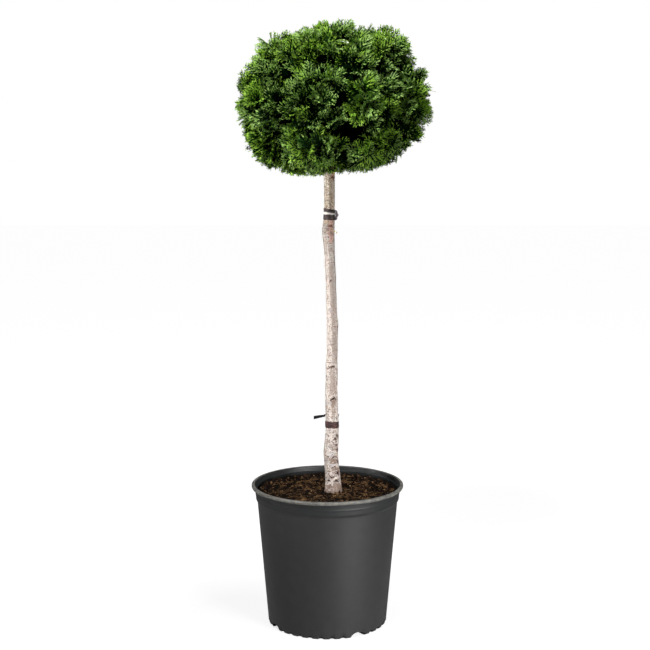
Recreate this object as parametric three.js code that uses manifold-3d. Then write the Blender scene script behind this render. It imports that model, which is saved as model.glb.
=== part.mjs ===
// A false cypress grown as a ball on a clear stem, standing in a round nursery pot.
// Millimetres, +Z up, the front facing -Y. The origin is the centre of the pot's underside.
//
// The plant is an assembly: pot, soil, trunk, a whorled set of boughs, and one mass of foliage at the
// end of each bough. A mass is a dense core with twigs standing out of it, and each twig carries
// fan-shaped sprays. Neighbouring solids keep a small clearance, so no two of them touch.

import * as THREE from "three";
import { ConvexGeometry } from "three/addons/geometries/ConvexGeometry.js";
import { mergeVertices } from "three/addons/utils/BufferGeometryUtils.js";
import Module from "manifold-3d";

const wasm = await Module();
wasm.setup();

// ---------------------------------------------------------------- driving dimensions

const CLEARANCE = 0.3;

const POT = {
  height: 261,
  rimRadius: 140,
  mouthRadius: 133.4, // inside the rolled lip
  lipHeight: 6.5,
  lipRound: 3, // rounding of the lip's edges
  footRadius: 106.2, // the flat underside
  cornerRise: 7, // rounded edge between underside and wall
  wallFootRadius: 109.6, // the wall's radius, carried down to the ground
  wallSlope: 0.0862, // radius gained per millimetre of height
  shoulderHeight: 230, // the stacking step, and everything above it, is wider
  shoulderStep: 2.2,
  shoulderRise: 3.3, // height over which the step widens
  wall: 2,
  innerLag: 1, // how much higher the inside turns than the outside
  floor: 3,
  sides: 40,
};

const DRAIN = {
  count: 4,
  width: 31, // at the underside
  topWidth: 18.6,
  height: 8.5,
  depth: 26,
  inwards: 0.45, // the share of the depth that lies inside the wall's foot
  below: 1, // each cut starts this far under the pot
  turnDeg: -60,
};

const SOIL = {
  level: 243,
  edgeDrop: 4,
  edgeWidth: 18,
  footInset: 8, // the soil's foot is narrower than the pot's underside
  cornerRise: 12, // and widens to the wall this far above the pot's own rounded edge
  cornerEase: 6,
};

// Trunk sizes by height: [height, centre x, centre y, radius]. Between them everything runs smoothly.
const TRUNK_KEYS = [
  [243.3, 10.4, 0.0, 16.6],
  [262, 9.8, 0.2, 14.4],
  [313, 7.0, 1.0, 12.9],
  [358, 8.4, 1.6, 12.2],
  [430, 7.3, 1.2, 11.6],
  [482, 7.9, 0.2, 10.4],
  [535, 8.6, -0.8, 9.9],
  [600, 7.0, -1.2, 9.9],
  [660, 5.0, -0.6, 9.6],
  [724, 2.2, 0.4, 10.4],
  [760, 3.4, 0.8, 9.9],
  [820, 3.4, 0.6, 9.9],
  [880, 4.6, 0.2, 9.4],
  [990, 9.0, 0.0, 4.2],
];
const TRUNK_SIDES = 12;
const TRUNK_ROW = 24;
const TRUNK_ROW_LEAST = 6; // from any row to a band's edge
const ROOT_FLARE = { lobes: 5, depth: 0.1, fade: 16, row: 7 };

// Swellings where side shoots were cut away: height, bearing (0 is +X, 270 is the front), rise, half height.
const KNOTS = [
  { z: 275, bearing: 340, rise: 1.4, spread: 12 },
  { z: 318, bearing: 185, rise: 1.5, spread: 9 },
  { z: 336, bearing: 200, rise: 1.2, spread: 8 },
  { z: 353, bearing: 350, rise: 1.3, spread: 8 },
  { z: 482, bearing: 190, rise: 1.3, spread: 14 },
  { z: 560, bearing: 350, rise: 2.6, spread: 8 },
  { z: 637, bearing: 60, rise: 1.5, spread: 9 },
  { z: 666, bearing: 180, rise: 1.6, spread: 6 },
  { z: 724, bearing: 190, rise: 1.9, spread: 17 },
];
const KNOT_WIDTH_DEG = 42; // half width round the trunk

// Flat bands tied round the trunk: lower edge, height, thickness, and how far each side slants down
// to the right or up to the left.
const BANDS = [
  { name: "tie_band_upper", low: 759, height: 7, thick: 1.3, slant: 1.6 },
  { name: "tie_band_middle", low: 748, height: 7, thick: 1.3, slant: 2 },
  { name: "tie_band_lower", low: 364, height: 13.5, thick: 1.2, slant: 0 },
];
// A thin strap behind the trunk, whose cut end stands out to the left.
const STRAP = {
  z: 386,
  height: 2.8,
  thick: 2.2,
  around: 150, // degrees of the trunk that it hugs
  steps: 10,
  slack: 0.5, // how loosely it does so, beyond the clearance
  reach: 21, // of the stiff end
  drop: 3.2,
  lean: 2.4, // how far back the stiff end points
  heel: { out: 0.6, front: 0.4 }, // where the stiff end starts
};

// Crown: the surface that the furthest tips reach, a flattened ball whose right-hand side is raised.
const CROWN = { x: 9, y: 0, z: 955, radius: 183, up: 157, down: 135, roundness: 2.6, tiltDeg: 6 };

// Boughs stand in whorls up the trunk, one mass of foliage at the end of each.
const WHORLS = [
  { name: "lower", count: 6, elevation: -36, turn: 10, foot: 896, stagger: 5, reach: 0.985 },
  { name: "middle", count: 8, elevation: 4, turn: 31, foot: 928, stagger: 6, reach: 1 },
  { name: "upper", count: 6, elevation: 43, turn: 4, foot: 958, stagger: 6, reach: 0.985 },
];
const AZIMUTH_JITTER = 8;
const ELEVATION_JITTER = 7;
const REACH_JITTER = 0.03;
const TOP_MASS = { bearing: 2.4, elevationDeg: 84 };

const BOUGH = { footRadius: 3.2, tipRadius: 2, sides: 5, rows: 4, bend: 30, end: 62 };
// The stretch of trunk that the boughs are saddled against starts below the lowest whorl.
const SADDLE = { below: 30, underTip: 1, rows: 8 };

// Shares are of the mass's reach, unless they say otherwise.
const MASS = {
  gap: 2.2, // clear space between neighbouring masses
  trunkClear: 15, // from the trunk's centre line to any foliage
  trunkLevel: 0.7, // the share of the crown's lower half at which that line is taken
  topGap: 0.5, // from the trunk's tip to the top mass's stem
  stemRadius: 1.9,
  stemSides: 5,
  stemEnd: 90, // distance from the crown's centre, well inside the core
  coreStart: 70, // distance from the crown's centre to the core's inner end
  coreInner: 7, // half width of that inner end
  coreShare: 0.72, // the core's outside
  corePeak: 1.06, // and how it bulges: its middle, its shoulder and its edge, each as a share of that
  coreShoulder: { open: 0.6, rise: 1.03 },
  coreEdge: 0.94,
  coreSides: 12,
  widest: 62, // the widest half angle of a mass, in degrees
  sprays: 13,
  spread: 0.9, // how much of the mass's width the sprays take
  spreadShare: 0.8, // where that width is measured
  spreadStart: 0.4, // how far the first spray stands from the middle, in steps
  twigShare: 0.62, // where twigs begin inside the core
  twigLean: 0.85, // how far aside a twig begins, as a share of its spray's angle
  neckLow: 0.74, // twigs end and fans begin between these two
  neckHigh: 0.84,
};

const FAN = {
  length: 46,
  lobes: 3,
  openDeg: 46, // half angle that the lobes' tips span
  notch: 0.83,
  sideShrink: 0.16,
  shoulder: 0.36,
  shoulderTurn: 1.45, // the shoulders' angle, as a share of the lobes' half angle
  middle: 0.5, // where the fan is thickest
  cup: 0.2,
  curl: 0.1,
  thick: 2.4,
  twig: 1.3,
  lift: 0.38, // how far sprays turn up
  lean: 0.72, // how far sprays turn aside from their twig
  roll: 0.4, // how far the faces turn from looking outwards, in radians
  graze: 1, // cubic millimetres that two sprays may share
  rootLeast: 12, // and the least and most of a spray that is sunk in the core
  rootMost: 70,
  sizes: [1.12, 1, 0.9, 0.81, 0.73, 0.66, 0.59, 0.53],
  attempts: 4,
};

const SEED = 20263;

// ---------------------------------------------------------------- helpers

const DEG = Math.PI / 180;
const GOLDEN_ANGLE = Math.PI * (3 - Math.sqrt(5));
const UP = new THREE.Vector3(0, 0, 1);
const FRONT_TO_BACK = new THREE.Vector3(0, 1, 0);
const CENTRE = new THREE.Vector3(CROWN.x, CROWN.y, CROWN.z);
const vec = (x, y, z) => new THREE.Vector3(x, y, z);

// Repeatable random numbers from 0 to 1.
function seeded(seed) {
  let state = Math.imul(seed + 1, 747796405) >>> 0;
  return () => {
    state = (Math.imul(state, 1664525) + 1013904223) >>> 0;
    return state / 4294967296;
  };
}

function solidOf(geometry) {
  const bare = new THREE.BufferGeometry();
  bare.setAttribute("position", geometry.getAttribute("position"));
  bare.setIndex(geometry.index);
  const merged = mergeVertices(bare, 1e-3);
  return new wasm.Manifold(
    new wasm.Mesh({
      numProp: 3,
      vertProperties: merged.attributes.position.array,
      triVerts: new Uint32Array(merged.index.array),
    }),
  );
}

function geometryOf(solid) {
  const mesh = solid.getMesh();
  const geometry = new THREE.BufferGeometry();
  geometry.setAttribute("position", new THREE.BufferAttribute(mesh.vertProperties, mesh.numProp));
  geometry.setIndex(new THREE.BufferAttribute(mesh.triVerts, 1));
  const flat = geometry.toNonIndexed();
  flat.computeVertexNormals();
  return flat;
}

function lathe(points, sides) {
  return new THREE.LatheGeometry(points, sides).rotateX(Math.PI / 2);
}

// A closed skin over rows of points, the first and last row capped. Rows run upwards, points anticlockwise.
function loft(rows) {
  const sides = rows[0].length;
  const positions = rows.flat().flatMap((p) => [p.x, p.y, p.z]);
  const index = [];
  for (let row = 0; row + 1 < rows.length; row++)
    for (let side = 0; side < sides; side++) {
      const a = row * sides + side;
      const b = row * sides + ((side + 1) % sides);
      index.push(a, b, b + sides, a, b + sides, a + sides);
    }
  const last = (rows.length - 1) * sides;
  for (let side = 1; side + 1 < sides; side++) {
    index.push(0, side + 1, side);
    index.push(last, last + side, last + side + 1);
  }
  const geometry = new THREE.BufferGeometry();
  geometry.setAttribute("position", new THREE.Float32BufferAttribute(positions, 3));
  geometry.setIndex(index);
  return geometry;
}

// A limb that tapers along a curve, each of its rows square to the curve.
function limb(curve, startRadius, endRadius, sides, rows) {
  const reference = perpendicular(curve.getPoint(1).sub(curve.getPoint(0)).normalize());
  const ring = (share) => {
    const along = curve.getTangent(share);
    const across = reference.clone().projectOnPlane(along).normalize();
    const over = vec().crossVectors(along, across);
    const radius = THREE.MathUtils.lerp(startRadius, endRadius, share);
    return Array.from({ length: sides }, (_, side) => {
      const turn = (side / sides) * 2 * Math.PI;
      return curve
        .getPoint(share)
        .addScaledVector(across, radius * Math.cos(turn))
        .addScaledVector(over, radius * Math.sin(turn));
    });
  };
  return loft(Array.from({ length: rows + 1 }, (_, row) => ring(row / rows)));
}

function perpendicular(direction) {
  const other = Math.abs(direction.z) < 0.9 ? UP : vec(1, 0, 0);
  return vec().crossVectors(direction, other).normalize();
}

function directionFrom(bearing, elevation) {
  const flat = Math.cos(elevation);
  return vec(flat * Math.cos(bearing), flat * Math.sin(bearing), Math.sin(elevation));
}

// ---------------------------------------------------------------- pot and soil

const wallRadius = (z) => POT.wallFootRadius + POT.wallSlope * z;
const upperRadius = (z) => wallRadius(z) + POT.shoulderStep;

function potProfile() {
  const lipFoot = POT.height - POT.lipHeight;
  const stepTop = POT.shoulderHeight + POT.shoulderRise;
  const outside = new THREE.Path();
  outside.moveTo(0, 0);
  outside.lineTo(POT.footRadius, 0);
  outside.quadraticCurveTo(wallRadius(0), 0, wallRadius(POT.cornerRise), POT.cornerRise);
  outside.lineTo(wallRadius(POT.shoulderHeight), POT.shoulderHeight);
  outside.lineTo(upperRadius(stepTop), stepTop);
  outside.lineTo(upperRadius(lipFoot), lipFoot);
  outside.quadraticCurveTo(POT.rimRadius, lipFoot, POT.rimRadius, POT.height - POT.lipHeight / 2);
  outside.quadraticCurveTo(POT.rimRadius, POT.height, POT.rimRadius - POT.lipRound, POT.height);
  outside.quadraticCurveTo(POT.mouthRadius, POT.height, POT.mouthRadius, POT.height - POT.lipRound);
  outside.lineTo(upperRadius(lipFoot) - POT.wall, lipFoot - POT.lipRound);
  outside.lineTo(upperRadius(stepTop) - POT.wall, stepTop + POT.innerLag);
  outside.lineTo(wallRadius(POT.shoulderHeight) - POT.wall, POT.shoulderHeight + POT.innerLag);
  outside.lineTo(wallRadius(POT.cornerRise) - POT.wall, POT.cornerRise + POT.innerLag);
  outside.lineTo(POT.footRadius - POT.wall, POT.floor);
  outside.lineTo(0, POT.floor);
  return outside.getPoints(2);
}

// The drain arches: each cuts the rounded foot of the pot through to the inside.
function potSolid() {
  let pot = solidOf(lathe(potProfile(), POT.sides));
  const arch = new THREE.Shape();
  arch.moveTo(-DRAIN.width / 2, -DRAIN.below);
  arch.lineTo(DRAIN.width / 2, -DRAIN.below);
  arch.lineTo(DRAIN.topWidth / 2, DRAIN.height);
  arch.lineTo(-DRAIN.topWidth / 2, DRAIN.height);
  arch.closePath();
  for (let n = 0; n < DRAIN.count; n++) {
    const bearing = DRAIN.turnDeg * DEG + (n / DRAIN.count) * 2 * Math.PI;
    const cut = new THREE.ExtrudeGeometry(arch, { depth: DRAIN.depth, bevelEnabled: false })
      .rotateX(Math.PI / 2)
      .translate(0, -wallRadius(0) + DRAIN.depth * DRAIN.inwards, 0)
      .rotateZ(bearing + Math.PI / 2);
    pot = pot.subtract(solidOf(cut));
  }
  return pot;
}

function soilSolid() {
  const inside = (z) => wallRadius(z) - POT.wall - 2 * CLEARANCE;
  const corner = POT.cornerRise + SOIL.cornerRise;
  const profile = [
    new THREE.Vector2(0, POT.floor + CLEARANCE),
    new THREE.Vector2(POT.footRadius - SOIL.footInset, POT.floor + CLEARANCE),
    new THREE.Vector2(inside(corner - SOIL.cornerEase), corner),
    new THREE.Vector2(inside(POT.shoulderHeight), POT.shoulderHeight),
    new THREE.Vector2(inside(SOIL.level - SOIL.edgeDrop), SOIL.level - SOIL.edgeDrop),
    new THREE.Vector2(inside(SOIL.level) - SOIL.edgeWidth, SOIL.level),
    new THREE.Vector2(0, SOIL.level),
  ];
  return solidOf(lathe(profile, POT.sides));
}

// ---------------------------------------------------------------- trunk, bands and strap

const trunkAt = (() => {
  const heights = TRUNK_KEYS.map((key) => key[0]);
  const values = TRUNK_KEYS.flatMap((key) => key.slice(1));
  const smooth = new THREE.CubicInterpolant(heights, values, 3, new Float64Array(3));
  return (z) => {
    const [x, y, radius] = smooth.evaluate(z);
    return { x, y, radius };
  };
})();
const TRUNK_FOOT = TRUNK_KEYS[0][0];
const TRUNK_TIP = TRUNK_KEYS.at(-1)[0];

// The bark's distance from the trunk's centre line.
function barkRadius(z, bearing) {
  const flare = Math.exp(-(z - TRUNK_FOOT) / ROOT_FLARE.fade) * ROOT_FLARE.depth;
  let radius = trunkAt(z).radius * (1 + flare * Math.cos(ROOT_FLARE.lobes * bearing + 1));
  for (const knot of KNOTS) {
    const turn = THREE.MathUtils.euclideanModulo(bearing / DEG - knot.bearing + 180, 360) - 180;
    const near = ((z - knot.z) / knot.spread) ** 2 + (turn / KNOT_WIDTH_DEG) ** 2;
    radius += knot.rise * Math.exp(-near);
  }
  return radius;
}

// A ring of points on the bark or outside it, level or slanting down to the right.
function barkRow(z, outwards = 0, slant = 0) {
  return Array.from({ length: TRUNK_SIDES }, (_, side) => {
    const bearing = (side / TRUNK_SIDES) * 2 * Math.PI;
    const height = z - slant * Math.cos(bearing);
    const { x, y } = trunkAt(height);
    const radius = barkRadius(height, bearing) + outwards;
    return vec(x + radius * Math.cos(bearing), y + radius * Math.sin(bearing), height);
  });
}

function trunkSolid() {
  const count = Math.round((TRUNK_TIP - TRUNK_FOOT) / TRUNK_ROW);
  const even = Array.from({ length: count + 1 }, (_, n) =>
    THREE.MathUtils.lerp(TRUNK_FOOT, TRUNK_TIP, n / count),
  );
  const edges = BANDS.flatMap((band) => [band.low, band.low + band.height]);
  const clear = even.filter((z) => edges.every((edge) => Math.abs(z - edge) > TRUNK_ROW_LEAST));
  const heights = [...clear, ...edges, TRUNK_FOOT + ROOT_FLARE.row].sort((a, b) => a - b);
  return solidOf(loft(heights.map((z) => barkRow(z))));
}

// A band is the skin between two offsets of the bark, so it follows every swelling.
function bandSolid({ low, height, thick, slant }) {
  const edges = [low, low + height];
  const outer = solidOf(loft(edges.map((z) => barkRow(z, CLEARANCE + thick, slant))));
  const hole = edges.map((z) => barkRow(z, CLEARANCE, slant));
  const pastEdge = 1;
  const below = hole[0].map((p) => p.clone().setZ(p.z - pastEdge));
  const above = hole[1].map((p) => p.clone().setZ(p.z + pastEdge));
  return outer.subtract(solidOf(loft([below, ...hole, above])));
}

// The strap hugs the back of the trunk and leaves it on the left as a short stiff end.
function strapSolid() {
  const { x, y } = trunkAt(STRAP.z);
  const ringPoint = (share, outwards) => {
    const bearing = (180 - STRAP.around * share) * DEG;
    const radius = barkRadius(STRAP.z, bearing) + CLEARANCE + STRAP.slack + outwards;
    return new THREE.Vector2(x + radius * Math.cos(bearing), y + radius * Math.sin(bearing));
  };
  const shares = Array.from({ length: STRAP.steps + 1 }, (_, n) => n / STRAP.steps);
  const inner = shares.map((share) => ringPoint(share, 0));
  const outer = shares.map((share) => ringPoint(share, STRAP.thick)).reverse();
  const start = ringPoint(0, 0);
  const tail = [
    new THREE.Vector2(start.x - STRAP.reach, start.y + STRAP.lean + STRAP.thick),
    new THREE.Vector2(start.x - STRAP.reach, start.y + STRAP.lean),
    new THREE.Vector2(start.x - STRAP.heel.out, start.y - STRAP.heel.front),
  ];
  const outline = new THREE.Shape([...inner, ...outer, ...tail]);
  const strip = new THREE.ExtrudeGeometry(outline, { depth: STRAP.height, bevelEnabled: false });
  const position = strip.getAttribute("position");
  for (let n = 0; n < position.count; n++) {
    const past = Math.max(0, start.x - position.getX(n)) / STRAP.reach;
    position.setZ(n, position.getZ(n) + STRAP.z - STRAP.drop * past);
  }
  return solidOf(strip);
}

// ---------------------------------------------------------------- crown

// How far the crown reaches from its centre in a direction.
function crownReach(direction) {
  const level = direction.clone().applyAxisAngle(FRONT_TO_BACK, CROWN.tiltDeg * DEG);
  const flat = Math.hypot(level.x, level.y) / CROWN.radius;
  const tall = Math.abs(level.z) / (level.z > 0 ? CROWN.up : CROWN.down);
  const n = CROWN.roundness;
  return (flat ** n + tall ** n) ** (-1 / n);
}

// One place in the crown for each mass: its direction from the centre, its reach and its bough's foot.
function placeMasses() {
  const random = seeded(SEED);
  const swing = (size) => (random() * 2 - 1) * size;
  const places = WHORLS.flatMap((whorl) =>
    Array.from({ length: whorl.count }, (_, n) => {
      const bearing = (whorl.turn + (360 * n) / whorl.count + swing(AZIMUTH_JITTER)) * DEG;
      const elevation = (whorl.elevation + swing(ELEVATION_JITTER)) * DEG;
      return {
        name: `${whorl.name}_${n + 1}`,
        direction: directionFrom(bearing, elevation),
        reach: whorl.reach + swing(REACH_JITTER),
        foot: whorl.foot + (n % 2 ? whorl.stagger : -whorl.stagger),
        low: whorl.elevation < 0,
      };
    }),
  );
  const top = directionFrom(TOP_MASS.bearing, TOP_MASS.elevationDeg * DEG);
  places.push({ name: "top", direction: top, reach: 1 });
  return places;
}

// The planes that bound each mass's space. A point belongs to it when it is behind all of them.
function boundSpaces(places) {
  for (const place of places) {
    place.planes = places
      .filter((other) => other !== place)
      .map((other) => {
        const normal = other.direction.clone().sub(place.direction).normalize();
        return new THREE.Plane().setFromNormalAndCoplanarPoint(
          normal,
          CENTRE.clone().addScaledVector(normal, -MASS.gap / 2),
        );
      });
    if (place.low) {
      const { x, y } = trunkAt(CROWN.z - CROWN.down * MASS.trunkLevel);
      const inwards = vec(-place.direction.x, -place.direction.y, 0).normalize();
      const edge = vec(x, y, 0).addScaledVector(inwards, -MASS.trunkClear);
      place.planes.push(new THREE.Plane().setFromNormalAndCoplanarPoint(inwards, edge));
    }
  }
}

const inSpace = (place, point) => place.planes.every((p) => p.distanceToPoint(point) < 0);

function inReach(place, point) {
  const out = point.clone().sub(CENTRE);
  const distance = out.length();
  return distance < crownReach(out.divideScalar(distance)) * place.reach;
}

// A direction turned away from the mass's own, towards the given side of it.
function turned(place, side, angle) {
  const across = perpendicular(place.direction);
  const over = vec().crossVectors(place.direction, across);
  return place.direction
    .clone()
    .multiplyScalar(Math.cos(angle))
    .addScaledVector(across, Math.sin(angle) * Math.cos(side))
    .addScaledVector(over, Math.sin(angle) * Math.sin(side));
}

const pointAt = (place, direction, share) =>
  CENTRE.clone().addScaledVector(direction, crownReach(direction) * place.reach * share);

// The widest angle at which the mass's space still holds a point at that share of the reach.
function openAngle(place, side, share) {
  const steps = 40;
  let angle = 0;
  for (let n = 1; n <= steps; n++) {
    const wider = (n / steps) * MASS.widest * DEG;
    if (!inSpace(place, pointAt(place, turned(place, side, wider), share))) break;
    angle = wider;
  }
  return angle;
}

function coreGeometry(place) {
  const points = [pointAt(place, place.direction, MASS.coreShare * MASS.corePeak)];
  const inner = CENTRE.clone().addScaledVector(place.direction, MASS.coreStart);
  for (let n = 0; n < MASS.coreSides; n++) {
    const side = (n / MASS.coreSides) * 2 * Math.PI;
    const open = openAngle(place, side, MASS.coreShare);
    points.push(pointAt(place, turned(place, side, open), MASS.coreShare * MASS.coreEdge));
    if (n % 2) continue;
    const { open: part, rise } = MASS.coreShoulder;
    points.push(pointAt(place, turned(place, side, open * part), MASS.coreShare * rise));
    points.push(inner.clone().addScaledVector(turned(place, side, Math.PI / 2), MASS.coreInner));
  }
  return new ConvexGeometry(points);
}

// A spray's outline on its own flat, from one shoulder over the lobes to the other: [across, along].
const FAN_OUTLINE = (() => {
  const at = (angle, share) => [Math.sin(angle) * share, Math.cos(angle) * share];
  const half = FAN.openDeg * DEG;
  const points = [at(-half * FAN.shoulderTurn, FAN.shoulder)];
  for (let n = 0; n < 2 * FAN.lobes - 1; n++) {
    const place = n / (FAN.lobes - 1) - 1;
    const share = 1 - FAN.sideShrink * place * place;
    points.push(at(place * half, n % 2 ? share * FAN.notch : share));
  }
  points.push(at(half * FAN.shoulderTurn, FAN.shoulder));
  return points;
})();

// A spray on its twig, as one skin: a square twig from its foot to its neck, then the fan, which is
// cupped towards its face, curls back at its tip and is thickest in the middle.
function sprayGeometry({ foot, neck, axis, face, length }) {
  const side = vec().crossVectors(axis, face);
  const onFan = (across, along, over) =>
    neck
      .clone()
      .addScaledVector(side, across * length)
      .addScaledVector(axis, along * length)
      .addScaledVector(face, (2 * FAN.cup * across ** 2 - FAN.curl * along ** 2) * length + over);
  const ring = (point) => [
    point.clone().addScaledVector(side, -FAN.twig),
    point.clone().addScaledVector(face, FAN.twig),
    point.clone().addScaledVector(side, FAN.twig),
    point.clone().addScaledVector(face, -FAN.twig),
  ];
  const rim = FAN_OUTLINE.map(([across, along]) => onFan(across, along, 0));
  const points = [...ring(foot), ...ring(neck), ...rim];
  const over = points.push(onFan(0, FAN.middle, FAN.thick / 2)) - 1;
  const under = points.push(onFan(0, FAN.middle, -FAN.thick / 2)) - 1;
  const [left, top, right, bottom] = [4, 5, 6, 7];
  const outline = [left, ...rim.map((_, n) => 8 + n), right];
  const index = [0, 2, 1, 0, 3, 2];
  for (let n = 0; n < 4; n++) {
    const next = (n + 1) % 4;
    index.push(n, next + 4, n + 4, n, next, next + 4);
  }
  const close = (loop, middle) => {
    loop.forEach((point, n) => index.push(point, loop[(n + 1) % loop.length], middle));
  };
  close([...outline, top].reverse(), over);
  close([...outline, bottom], under);
  const geometry = new THREE.BufferGeometry();
  const positions = points.flatMap((p) => [p.x, p.y, p.z]);
  geometry.setAttribute("position", new THREE.Float32BufferAttribute(positions, 3));
  geometry.setIndex(index);
  return { geometry, outer: points.slice(4) };
}

// One spray's place: its twig leaves the core towards an even spread of directions, and the fan turns
// up and aside from the twig, its face looking more or less outwards.
function placeSpray(place, n, start, random) {
  const side = start + n * GOLDEN_ANGLE;
  const share = Math.sqrt((n + MASS.spreadStart) / MASS.sprays) * MASS.spread;
  const angle = openAngle(place, side, MASS.spreadShare) * share;
  const twig = turned(place, side, angle);
  const across = perpendicular(twig);
  const over = vec().crossVectors(twig, across);
  const turn = random() * 2 * Math.PI;
  const axis = twig
    .clone()
    .addScaledVector(UP, FAN.lift)
    .addScaledVector(across, FAN.lean * Math.cos(turn))
    .addScaledVector(over, FAN.lean * Math.sin(turn))
    .normalize();
  const outwards = twig.clone().addScaledVector(axis, -twig.dot(axis)).normalize();
  return {
    foot: pointAt(place, turned(place, side, angle * MASS.twigLean), MASS.twigShare),
    neck: pointAt(place, twig, THREE.MathUtils.lerp(MASS.neckLow, MASS.neckHigh, random())),
    axis,
    face: outwards.applyAxisAngle(axis, (random() * 2 - 1) * FAN.roll),
  };
}

// A stem starts just past its bough's tip, or the top mass's just over the trunk's.
function stemFoot(place) {
  if (place.foot) return CENTRE.clone().addScaledVector(place.direction, BOUGH.end + CLEARANCE);
  const { x, y } = trunkAt(TRUNK_TIP);
  return vec(x, y, TRUNK_TIP).addScaledVector(place.direction, MASS.topGap);
}

// The seeded rule. A spray that would leave the mass's space or cut into what has grown is tried
// smaller and turned another way, and then skipped.
function growMass(place, seed) {
  const random = seeded(seed);
  const core = solidOf(coreGeometry(place));
  const from = stemFoot(place);
  const to = CENTRE.clone().addScaledVector(place.direction, MASS.stemEnd);
  const axis = new THREE.LineCurve3(from, to);
  const stem = limb(axis, MASS.stemRadius, MASS.stemRadius, MASS.stemSides, 1);
  const sprays = [];
  const start = random() * 2 * Math.PI;
  const fits = (spray) => {
    const root = spray.intersect(core).volume();
    if (root < FAN.rootLeast || root > FAN.rootMost) return false;
    return sprays.every((other) => spray.intersect(other).volume() < FAN.graze);
  };
  for (let n = 0; n < MASS.sprays; n++) {
    const spray = growSpray(place, n, start, random, fits);
    if (spray) sprays.push(spray);
  }
  return sprays.reduce((sum, spray) => sum.add(spray), core.add(solidOf(stem)));
}

function growSpray(place, n, start, random, fits) {
  for (let attempt = 0; attempt < FAN.attempts; attempt++) {
    const at = placeSpray(place, n, start, random);
    for (const size of FAN.sizes) {
      const { geometry, outer } = sprayGeometry({ ...at, length: FAN.length * size });
      if (!outer.every((p) => inSpace(place, p) && inReach(place, p))) continue;
      const spray = solidOf(geometry);
      if (fits(spray)) return spray;
    }
  }
  return null;
}

// The trunk's upper part with the clearance round it, which every bough is cut back from.
const trunkRoom = (() => {
  const low = WHORLS[0].foot - SADDLE.below;
  const high = TRUNK_TIP - SADDLE.underTip;
  const heights = Array.from({ length: SADDLE.rows + 1 }, (_, n) =>
    THREE.MathUtils.lerp(low, high, n / SADDLE.rows),
  );
  return solidOf(loft(heights.map((z) => barkRow(z, CLEARANCE))));
})();

// A bough leaves the trunk, saddled against its bark, and bends round to the inner end of its mass.
function boughSolid(place) {
  const tip = CENTRE.clone().addScaledVector(place.direction, BOUGH.end);
  const { x, y } = trunkAt(place.foot);
  const foot = vec(x, y, place.foot);
  const bend = tip.clone().addScaledVector(place.direction, -BOUGH.bend);
  const curve = new THREE.QuadraticBezierCurve3(foot, bend, tip);
  const bough = solidOf(limb(curve, BOUGH.footRadius, BOUGH.tipRadius, BOUGH.sides, BOUGH.rows));
  return bough.subtract(trunkRoom);
}

// ---------------------------------------------------------------- the assembly

const MATERIALS = {
  pot: { color: 0x3c3e40, roughness: 0.55 },
  soil: { color: 0x35241a, roughness: 1 },
  bark: { color: 0xcdbfb2, roughness: 0.85 },
  bough: { color: 0x7c5c43, roughness: 0.9 },
  tie: { color: 0x43302a, roughness: 0.7 },
  strap: { color: 0x15131a, roughness: 0.45 },
  foliage: { color: 0x3f6b25, roughness: 0.7 },
};

const plant = new THREE.Group();

function addPart(name, solid, material) {
  const settings = { ...MATERIALS[material], metalness: 0 };
  const mesh = new THREE.Mesh(geometryOf(solid), new THREE.MeshStandardMaterial(settings));
  mesh.name = name;
  plant.add(mesh);
}

addPart("pot", potSolid(), "pot");
addPart("soil", soilSolid(), "soil");
addPart("trunk", trunkSolid(), "bark");
for (const band of BANDS) addPart(band.name, bandSolid(band), "tie");
addPart("tie_strap", strapSolid(), "strap");

const places = placeMasses();
boundSpaces(places);
places.forEach((place, n) => {
  if (place.foot) addPart(`bough_${place.name}`, boughSolid(place), "bough");
  addPart(`mass_${place.name}`, growMass(place, SEED + 101 * (n + 1)), "foliage");
});

export default plant;
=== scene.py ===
import math

import bpy
import numpy as np
from mathutils import Euler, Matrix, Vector


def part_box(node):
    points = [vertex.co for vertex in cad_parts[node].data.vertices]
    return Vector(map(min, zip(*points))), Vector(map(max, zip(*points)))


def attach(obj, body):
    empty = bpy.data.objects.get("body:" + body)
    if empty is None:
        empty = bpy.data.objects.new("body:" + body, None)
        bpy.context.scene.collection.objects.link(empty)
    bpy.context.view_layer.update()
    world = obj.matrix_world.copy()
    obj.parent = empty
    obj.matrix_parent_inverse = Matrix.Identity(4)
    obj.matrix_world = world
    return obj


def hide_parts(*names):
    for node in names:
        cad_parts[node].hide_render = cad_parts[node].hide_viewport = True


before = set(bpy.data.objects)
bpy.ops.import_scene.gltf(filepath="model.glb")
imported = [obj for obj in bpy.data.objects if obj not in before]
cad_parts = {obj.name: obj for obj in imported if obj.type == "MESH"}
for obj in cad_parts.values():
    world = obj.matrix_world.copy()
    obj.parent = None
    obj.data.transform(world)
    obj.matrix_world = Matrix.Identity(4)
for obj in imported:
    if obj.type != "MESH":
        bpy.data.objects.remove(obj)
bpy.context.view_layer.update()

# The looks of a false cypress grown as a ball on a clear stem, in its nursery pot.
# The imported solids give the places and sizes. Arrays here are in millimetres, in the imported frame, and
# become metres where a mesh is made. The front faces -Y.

MM = 0.001
DEG = math.pi / 180
FULL_TURN = 2 * math.pi
GOLDEN_ANGLE = math.pi * (3 - math.sqrt(5))
UP = np.array([0.0, 0.0, 1.0])

# -------------------- helpers


def corner(node, which):
    """A CAD node's lowest (0) or highest (1) corner."""
    return np.array(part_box(node)[which]) / MM


def unit(vectors):
    return vectors / np.linalg.norm(vectors, axis=-1, keepdims=True)


def blend(low, high, share):
    return low + (high - low) * share


def smooth_step(low, high, values):
    share = np.clip((values - low) / (high - low), 0, 1)
    return share * share * (3 - 2 * share)


def all_round(count):
    """Bearings in even steps round one turn."""
    return np.arange(count) / count * FULL_TURN


def outwards(bearing):
    return np.array([math.cos(bearing), math.sin(bearing), 0])


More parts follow.
